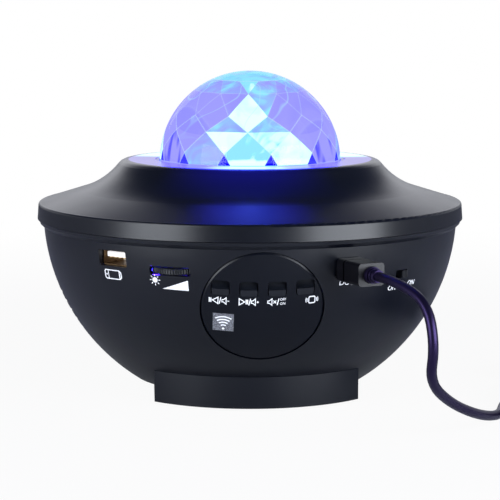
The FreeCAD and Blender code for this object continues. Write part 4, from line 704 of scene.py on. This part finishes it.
class NIGHTLIGHT_OT_stage(bpy.types.Operator):
    """Sets the camera, the floor, the world and the lamps"""

    bl_idname = "night_light.stage"
    bl_label = "Stage"

    def execute(self, context):
        self.camera(context)
        self.floor()
        self.world(context)
        self.lamps()
        return {"FINISHED"}

    def camera(self, context):
        size = sizes()
        turn, tilt = size.camera_turn, size.camera_tilt
        ahead = Vector((math.sin(turn), math.cos(turn), 0))
        right = Vector((math.cos(turn), -math.sin(turn), 0))
        up = Vector((0, 0, 1))
        look = ahead * math.cos(tilt) - up * math.sin(tilt)
        top = ahead * math.sin(tilt) + up * math.cos(tilt)
        place = ahead * -size.camera_distance + up * size.camera_height
        data = bpy.data.cameras.new("camera")
        data.sensor_width = 36.0
        data.lens = size.lens
        data.clip_start = 0.01
        camera = bpy.data.objects.new("camera", data)
        camera.matrix_world = Matrix.Translation(place) @ Matrix((right, top, -look)).transposed().to_4x4()
        context.collection.objects.link(camera)
        context.scene.camera = camera
        context.scene.view_settings.view_transform = "Standard"

    def floor(self):
        """Pale paper that takes the object's shadow and is white further off."""
        mesh = bpy.data.meshes.new("floor")
        reach = 6.0
        corners = [(-reach, -reach, 0), (reach, -reach, 0), (reach, reach, 0), (-reach, reach, 0)]
        mesh.from_pydata(corners, [], [(0, 1, 2, 3)])
        floor = bpy.data.objects.new("floor", mesh)
        bpy.context.collection.objects.link(floor)
        made, tree = blank("floor_paper")
        place = own_place(tree)
        tone = ramp(tree, noise(tree, place, 3.0, 2.0), (0.0, (0.60, 0.60, 0.62)), (1.0, (0.64, 0.64, 0.66)))
        paper = add(tree, "BsdfDiffuse", {"Color": tone}).outputs[0]
        white = add(tree, "Emission", {"Color": (1, 1, 1, 1), "Strength": 1.0}).outputs[0]
        share = spread(tree, distance(tree, place), 0.16, 0.55, 0.94, 1.0, smooth=True)
        seen = product(tree, add(tree, "LightPath").outputs["Is Camera Ray"], share)
        add(tree, "OutputMaterial", {0: shaders(tree, seen, paper, white)})
        mesh.materials.append(made)

    def world(self, context):
        """White behind the object, and a studio that is bright near the horizon and dim overhead."""
        world = bpy.data.worlds.new("studio")
        world.use_nodes = True
        context.scene.world = world
        tree = world.node_tree
        tree.nodes.clear()
        ahead, up = add(tree, "SeparateXYZ", {0: add(tree, "TexCoord").outputs["Generated"]}).outputs[1:]
        tone = ramp(
            tree, up, (0.0, (0.60, 0.62, 0.68)), (0.16, (0.60, 0.62, 0.68)), (0.42, (0.06, 0.07, 0.13)),
            (1.0, (0.03, 0.04, 0.10)),
        )
        dim = spread(tree, ahead, -0.97, -0.55, 0.22, 1.0, smooth=True)
        room = add(tree, "Background", {"Color": tone, "Strength": dim}).outputs[0]
        white = add(tree, "Background", {"Color": (1, 1, 1, 1), "Strength": 1.0}).outputs[0]
        seen = add(tree, "LightPath").outputs["Is Camera Ray"]
        add(tree, "OutputWorld", {0: shaders(tree, seen, room, white)})

    def lamps(self):
        """Two low strips for the lip, three large softboxes, and a blue one that tints what faces up."""
        cool, pale, blue = (0.88, 0.93, 1.0), (0.95, 0.96, 1.0), (0.02, 0.04, 1.0)
        softbox("left_strip", (-0.342, -0.297, 0.13), 0.07, (0.27, 0.24), 1.4, cool)
        softbox("right_strip", (0.310, -0.333, 0.13), 0.07, (0.32, 0.24), 2.1, cool)
        softbox("left_softbox", (-0.62, -0.30, 0.42), 0.06, (0.45, 0.5), 0.5, pale)
        softbox("right_softbox", (0.66, -0.26, 0.40), 0.06, (0.45, 0.5), 0.6, pale)
        softbox("back_softbox", (0.0, 0.75, 0.35), 0.08, (0.9, 0.3), 1.0, pale)
        softbox("blue_ceiling", (0.0, 0.10, 0.55), 0.08, (0.16, 0.16), 0.12, blue)


def softbox(name, place, aim_height, size, power, colour):
    """An area lamp that faces a point on the object's axis."""
    data = bpy.data.lights.new(name, "AREA")
    data.shape = "RECTANGLE"
    data.size, data.size_y = size
    data.energy = power
    data.color = colour
    lamp = bpy.data.objects.new(name, data)
    lamp.location = place
    lamp.rotation_euler = (Vector((0.0, 0.0, aim_height)) - Vector(place)).to_track_quat("-Z", "Y").to_euler()
    bpy.context.collection.objects.link(lamp)


def dial_leak(name, azimuth, radius, power):
    """A faint blue lamp at one end of the dial's slot, in metres and degrees."""
    a = math.radians(azimuth)
    data = bpy.data.lights.new(name, "POINT")
    data.energy = power
    data.color = (0.06, 0.02, 1.0)
    data.shadow_soft_size = 0.0015
    lamp = bpy.data.objects.new(name, data)
    lamp.location = (radius * math.sin(a), -radius * math.cos(a), 0.0545)
    bpy.context.collection.objects.link(lamp)


class NIGHTLIGHT_OT_cable(bpy.types.Operator):
    """Draws the supply cable and its coil, and finishes the plugs on it"""

    bl_idname = "night_light.cable"
    bl_label = "Supply cable"

    def execute(self, context):
        points = cable_points()
        curve = bpy.data.curves.new("supply_cable", "CURVE")
        curve.dimensions = "3D"
        line = curve.splines.new("NURBS")
        line.points.add(len(points) - 1)
        for spot, point in zip(line.points, points):
            spot.co = (point[0] * MM, point[1] * MM, point[2] * MM, 1.0)
        line.order_u = 3
        line.use_endpoint_u = True
        line.resolution_u = 6
        curve.bevel_depth = sizes().cable_diameter / 2
        curve.bevel_resolution = 4
        curve.use_fill_caps = True
        # The jacket's violet specular tint paints the blue of the dome's light into its highlights.
        jacket = finish(
            "cable_jacket", colours().cable, 0.34, patch=(60.0, 0.2), grain=(1600.0, 0.14, 0.00005),
            Specular_Tint=(0.45, 0.30, 1.0, 1.0), Specular_IOR_Level=0.6,
        )
        curve.materials.append(jacket)
        cable = bpy.data.objects.new("supply_cable", curve)
        context.collection.objects.link(cable)
        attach(cable, "case")
        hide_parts("power_cable", "cable_coil")
        moulding = finish(
            "plug_moulding", (0.003, 0.003, 0.005), 0.3, grain=(1800.0, 0.2, 0.00008), Specular_IOR_Level=0.4,
        )
        dress(moulding, "power_plug", "usb_plug_grip")
        dress(jacket, "plug_strain_relief")
        dress(finish("strap", (0.02, 0.02, 0.022), 0.5, grain=(900.0, 0.3, 0.0001)), "cable_tie")
        return {"FINISHED"}


class NIGHTLIGHT_OT_case(bpy.types.Operator):
    """Finishes the bowl, the brim, the foot and its pads"""

    bl_idname = "night_light.case"
    bl_label = "Case"

    def execute(self, context):
        dress(case_plastic(), "lower_housing", "base_foot")
        dress(painted_glow_plastic(), "top_cover")
        dress(finish("pad_rubber", (0.02, 0.02, 0.021), 0.8, grain=(1500.0, 0.4, 0.0001)), "rubber_feet")
        return {"FINISHED"}


class NIGHTLIGHT_OT_dome(bpy.types.Operator):
    """Finishes the faceted dome and its ring"""

    bl_idname = "night_light.dome"
    bl_label = "Dome"

    def execute(self, context):
        dress(clear_dome(), "dome_lens")
        dress(finish("ring_plastic", (0.03, 0.03, 0.034), 0.5), "dome_retaining_ring")
        return {"FINISHED"}


class NIGHTLIGHT_OT_panel(bpy.types.Operator):
    """Finishes the control panel and its keys"""

    bl_idname = "night_light.panel"
    bl_label = "Control panel"

    def execute(self, context):
        dress(panel_plastic(), "control_panel")
        keys = finish(
            "key_plastic", (0.006, 0.0075, 0.012), 0.4, grain=(3000.0, 0.15, 0.00005), Specular_IOR_Level=0.4,
        )
        dress(keys, "previous_key", "next_key", "mute_key", "mode_key")
        return {"FINISHED"}


class NIGHTLIGHT_OT_marks(bpy.types.Operator):
    """Prints the generic marks on the panel and the wall"""

    bl_idname = "night_light.marks"
    bl_label = "Printed marks"

    def execute(self, context):
        ink = ink_with_painted_glow()
        line = sizes().mark_line / MM
        panel = wall_frame(*PANEL_PLACE)
        for name, faces, middle, shift in (
            ("previous_marks", self.previous(line), -14.4, -1.15),
            ("next_marks", self.following(line), -4.15, -0.85),
            ("mute_marks", self.mute(line), 5.9, -0.75),
        ):
            printed(name, panel, moved(squeezed(faces, middle, MARK_SQUEEZE), shift, KEY_ROW), ink)
        mode = moved(squeezed(self.mode(line), 18.5, 0.78), -0.7, KEY_ROW - 0.25)
        printed("mode_marks", panel, mode, ink)
        self.receiver_window(panel, ink)
        self.wall_marks(ink)
        return {"FINISHED"}

    def previous(self, line):
        """Two bars and an arrow back, a slash, and a loudspeaker with a minus sign."""
        heavy = line * 1.2
        faces = arrow(-17.05, -14.95, line)
        faces += bar(-18.2, BAR_HALF, heavy) + bar(-17.6, BAR_HALF, heavy)
        faces += slash(-14.5, line) + stroke(loudspeaker(-13.45), line, closed=True)
        return faces + stroke([(-11.45, 0), (-10.75, 0)], line)

    def following(self, line):
        """An arrow on and two bars, a slash, and a loudspeaker with a plus sign."""
        heavy = line * 1.2
        faces = arrow(-5.75, -7.85, line)
        faces += bar(-5.2, BAR_HALF, heavy) + bar(-4.65, BAR_HALF, heavy)
        faces += slash(-4.2, line) + stroke(loudspeaker(-3.3), line, closed=True)
        return faces + stroke([(-1.25, 0), (-0.45, 0)], line) + stroke([(-0.85, -0.4), (-0.85, 0.4)], line)

    def mute(self, line):
        """A crossed loudspeaker, a slash, and OFF over ON."""
        faces = stroke(loudspeaker(2.35), line, closed=True)
        faces += stroke([(4.45, -0.55), (5.55, 0.55)], line) + stroke([(4.45, 0.55), (5.55, -0.55)], line)
        faces += slash(5.9, line) + moved(lettering("OFF", SMALL_LETTERS), 8.1, 0.85)
        return faces + moved(lettering("ON", SMALL_LETTERS), 8.0, -0.85)

    def mode(self, line):
        """A phone that shakes."""
        outline = arc(17.6, 0.75, 0.55, 90, 180, 4) + arc(17.6, -0.75, 0.55, 180, 270, 4)
        outline += arc(19.4, -0.75, 0.55, -90, 0, 4) + arc(19.4, 0.75, 0.55, 0, 90, 4)
        faces = stroke(outline, line * 1.3, closed=True)
        for reach, turn in ((1.25, 34), (1.85, 30)):
            faces += stroke(arc(17.5, 0, reach, 180 - turn, 180 + turn, 6), line)
            faces += stroke(arc(19.5, 0, reach, -turn, turn, 6), line)
        return faces

    def receiver_window(self, panel, ink):
        """A grey window with waves over the infrared receiver."""
        x, y, half = -14.05, -5.15, 3.75
        window = [[(x - half, y - half), (x + half, y - half), (x + half, y + half), (x - half, y + half)]]
        printed("receiver_window", panel, window, speckled_ink())
        waves = disc(x, y - 2.75, 0.48)
        for reach in (1.6, 2.8, 4.0, 5.2):
            waves += stroke(arc(x, y - 2.75, reach, 56, 124, 10), 0.5)
        printed("receiver_waves", panel, waves, ink, lift=0.03)

    def wall_marks(self, ink):
        """The phone at the socket, the sun and wedge at the dial, and the words at the plug and switch."""
        outline = [
            (-4.3, 1.5), (-3.7, 2.1), (3.3, 2.1), (4.2, 1.2),
            (4.2, -1.2), (3.3, -2.1), (-3.7, -2.1), (-4.3, -1.5),
        ]
        phone = stroke(outline, 0.5, closed=True) + bar(-2.5, 2.0, 0.36) + bar(3.35, 1.9, 0.5)
        phone = squeezed(phone + disc(-3.4, 0.0, 0.4), 0.0, 0.92, 0.8)
        printed("phone_mark", wall_frame(*PHONE_PLACE), moved(phone, -0.4, 0.4), ink)
        sun = disc(0, 0, 1.05)
        for k in range(8):
            a = math.radians(45 * k)
            ray = [(reach * math.cos(a), reach * math.sin(a)) for reach in (1.4, 2.1)]
            sun += stroke(ray, 0.3)
        printed("sun_mark", wall_frame(*SUN_PLACE), sun, ink)
        printed("wedge_mark", wall_frame(*WEDGE_PLACE), [[(-5.25, -1.65), (4.9, -2.0), (4.9, 2.0)]], ink)
        printed("supply_mark", wall_frame(*SUPPLY_PLACE), lettering("DC 5V", WALL_LETTERS), ink)
        printed("off_mark", wall_frame(*OFF_PLACE), lettering("OFF", WALL_LETTERS), ink)
        printed("on_mark", wall_frame(*ON_PLACE), lettering("ON", WALL_LETTERS), ink)


def metal(name, colour, roughness, patch, grain):
    return finish(name, colour, roughness, metal=1.0, patch=patch, grain=grain)


class NIGHTLIGHT_OT_ports(bpy.types.Operator):
    """Finishes the socket, the dial, the supply socket and the switch"""

    bl_idname = "night_light.ports"
    bl_label = "Ports and dial"

    def execute(self, context):
        nickel = metal("nickel", (0.62, 0.60, 0.57), 0.24, (300.0, 0.08), (700.0, 0.08, 0.00003))
        dress(nickel, "usb_plug_shell", "power_socket", "power_plug_tip")
        # Darker brown metal for the socket's shell than for the plug's.
        dark_shell = metal("dark_brown_shell_metal", (0.16, 0.10, 0.05), 0.38, (300.0, 0.2), (700.0, 0.1, 0.00003))
        dress(dark_shell, "usb_socket_shell")
        white = finish("white_moulding", (0.78, 0.78, 0.80), 0.4, patch=(80.0, 0.04))
        dress(white, "usb_plug_tongue")
        # The socket's tongue has a painted glow: slight emission that brightens it inside the socket's mouth.
        bright = finish(
            "tongue_painted_glow", (0.86, 0.84, 0.82), 0.35, patch=(80.0, 0.04),
            Emission_Color=(1, 0.95, 0.9, 1), Emission_Strength=0.35,
        )
        dress(bright, "usb_socket_tongue")
        gold = metal("gold_plate", (0.83, 0.58, 0.22), 0.22, (400.0, 0.1), (900.0, 0.1, 0.00002))
        dress(gold, "usb_contacts")
        dial = finish("dial_plastic", (0.006, 0.007, 0.010), 0.42, grain=(2400.0, 0.2, 0.00006))
        dress(dial, "brightness_dial", "power_switch_slider")
        dress(finish("resin", (0.03, 0.03, 0.032), 0.55), "dial_potentiometer", "power_switch_body")
        dial_leak("left_leak", -31.0, 0.0742, 0.012)
        dial_leak("right_leak", -18.2, 0.0752, 0.004)
        return {"FINISHED"}


class NIGHTLIGHT_OT_speaker(bpy.types.Operator):
    """Finishes the loudspeaker behind the grille"""

    bl_idname = "night_light.speaker"
    bl_label = "Loudspeaker"

    def execute(self, context):
        paper = finish(
            "cone_paper", (0.035, 0.034, 0.036), 0.85, patch=(260.0, 0.3), grain=(1300.0, 0.5, 0.0002),
        )
        dress(paper, "speaker_cone")
        foam = finish("foam", (0.025, 0.025, 0.027), 0.9, grain=(1800.0, 0.6, 0.0002))
        dress(foam, "speaker_gasket", "speaker_surround")
        basket = finish("basket_paint", (0.05, 0.05, 0.055), 0.4, grain=(1200.0, 0.15, 0.0001))
        dress(basket, "speaker_frame")
        ferrite = finish("ferrite", (0.10, 0.10, 0.105), 0.5, metal=0.4, grain=(800.0, 0.3, 0.0001))
        dress(ferrite, "speaker_magnet")
        return {"FINISHED"}


class NIGHTLIGHT_OT_light_engine(bpy.types.Operator):
    """Finishes the deck, the ripple disc and its drive, the lamps and the laser"""

    bl_idname = "night_light.light_engine"
    bl_label = "Light engine"

    def execute(self, context):
        dress(finish("deck_plastic", (0.03, 0.03, 0.034), 0.5), "light_deck")
        clear = finish(
            "clear_disc", (0.82, 0.88, 1.0), 0.08, patch=(120.0, 0.05), grain=(200.0, 0.1, 0.0002),
            Transmission_Weight=0.85, IOR=ACRYLIC_IOR,
        )
        dress(clear, "wave_disc", "collimator_lens", "led_emitters", "star_grating")
        steel = metal("drawn_steel", (0.56, 0.56, 0.57), 0.3, (150.0, 0.1), (900.0, 0.15, 0.00004))
        dress(steel, "gear_motor", "motor_shaft", "pivot_pin")
        dress(finish("acetal", (0.76, 0.75, 0.70), 0.4), "drive_pinion")
        alloy = metal("cast_alloy", (0.60, 0.61, 0.63), 0.35, (200.0, 0.12), (700.0, 0.2, 0.00006))
        dress(alloy, "heat_sink", "laser_holder")
        brass = metal("turned_brass", (0.75, 0.55, 0.25), 0.28, (300.0, 0.12), (900.0, 0.2, 0.00004))
        dress(brass, "laser_module")
        return {"FINISHED"}


class NIGHTLIGHT_OT_boards(bpy.types.Operator):
    """Finishes the circuit boards, what is soldered on them, and the screws"""

    bl_idname = "night_light.boards"
    bl_label = "Boards and screws"

    def execute(self, context):
        mask = finish(
            "solder_mask", (0.012, 0.10, 0.045), 0.35, patch=(500.0, 0.25), grain=(1500.0, 0.15, 0.00005),
        )
        dress(mask, "main_board", "button_board")
        dress(finish("lamp_board", (0.72, 0.72, 0.70), 0.45), "led_board")
        chips = finish("chip_resin", (0.02, 0.02, 0.022), 0.55, grain=(2600.0, 0.3, 0.00006))
        dress(chips, "board_parts", "tact_switches", "infrared_receiver")
        zinc = metal("zinc_plate", (0.58, 0.59, 0.60), 0.3, (500.0, 0.12), (900.0, 0.15, 0.00004))
        dress(zinc, "foot_screws", "case_screws", "dome_ring_screws")
        dress(zinc, "panel_screws", "board_screws", "motor_screws")
        return {"FINISHED"}


class NIGHTLIGHT_PT_pieces(bpy.types.Panel):
    """Lists the pieces of the night light"""

    bl_idname = "NIGHTLIGHT_PT_pieces"
    bl_label = "Night light"
    bl_space_type = "VIEW_3D"
    bl_region_type = "UI"
    bl_category = "Night light"

    def draw(self, context):
        for group in (context.scene.night_light_sizes, context.scene.night_light_colours):
            box = self.layout.box()
            for name in group.bl_rna.properties.keys():
                if name not in ("rna_type", "name"):
                    box.prop(group, name)
        for operator in OPERATORS:
            self.layout.operator(operator.bl_idname)


OPERATORS = (
    NIGHTLIGHT_OT_stage,
    NIGHTLIGHT_OT_cable,
    NIGHTLIGHT_OT_case,
    NIGHTLIGHT_OT_dome,
    NIGHTLIGHT_OT_panel,
    NIGHTLIGHT_OT_marks,
    NIGHTLIGHT_OT_ports,
    NIGHTLIGHT_OT_speaker,
    NIGHTLIGHT_OT_light_engine,
    NIGHTLIGHT_OT_boards,
)
CLASSES = (NightLightSizes, NightLightColours) + OPERATORS + (NIGHTLIGHT_PT_pieces,)


def register():
    for made in CLASSES:
        bpy.utils.register_class(made)
    bpy.types.Scene.night_light_sizes = PointerProperty(type=NightLightSizes)
    bpy.types.Scene.night_light_colours = PointerProperty(type=NightLightColours)


def unregister():
    del bpy.types.Scene.night_light_colours
    del bpy.types.Scene.night_light_sizes
    for made in reversed(CLASSES):
        bpy.utils.unregister_class(made)


def main():
    register()
    bpy.ops.night_light.stage()
    bpy.ops.night_light.cable()
    bpy.ops.night_light.case()
    bpy.ops.night_light.dome()
    bpy.ops.night_light.panel()
    bpy.ops.night_light.marks()
    bpy.ops.night_light.ports()
    bpy.ops.night_light.speaker()
    bpy.ops.night_light.light_engine()
    bpy.ops.night_light.boards()


if __name__ == "__main__":
    main()
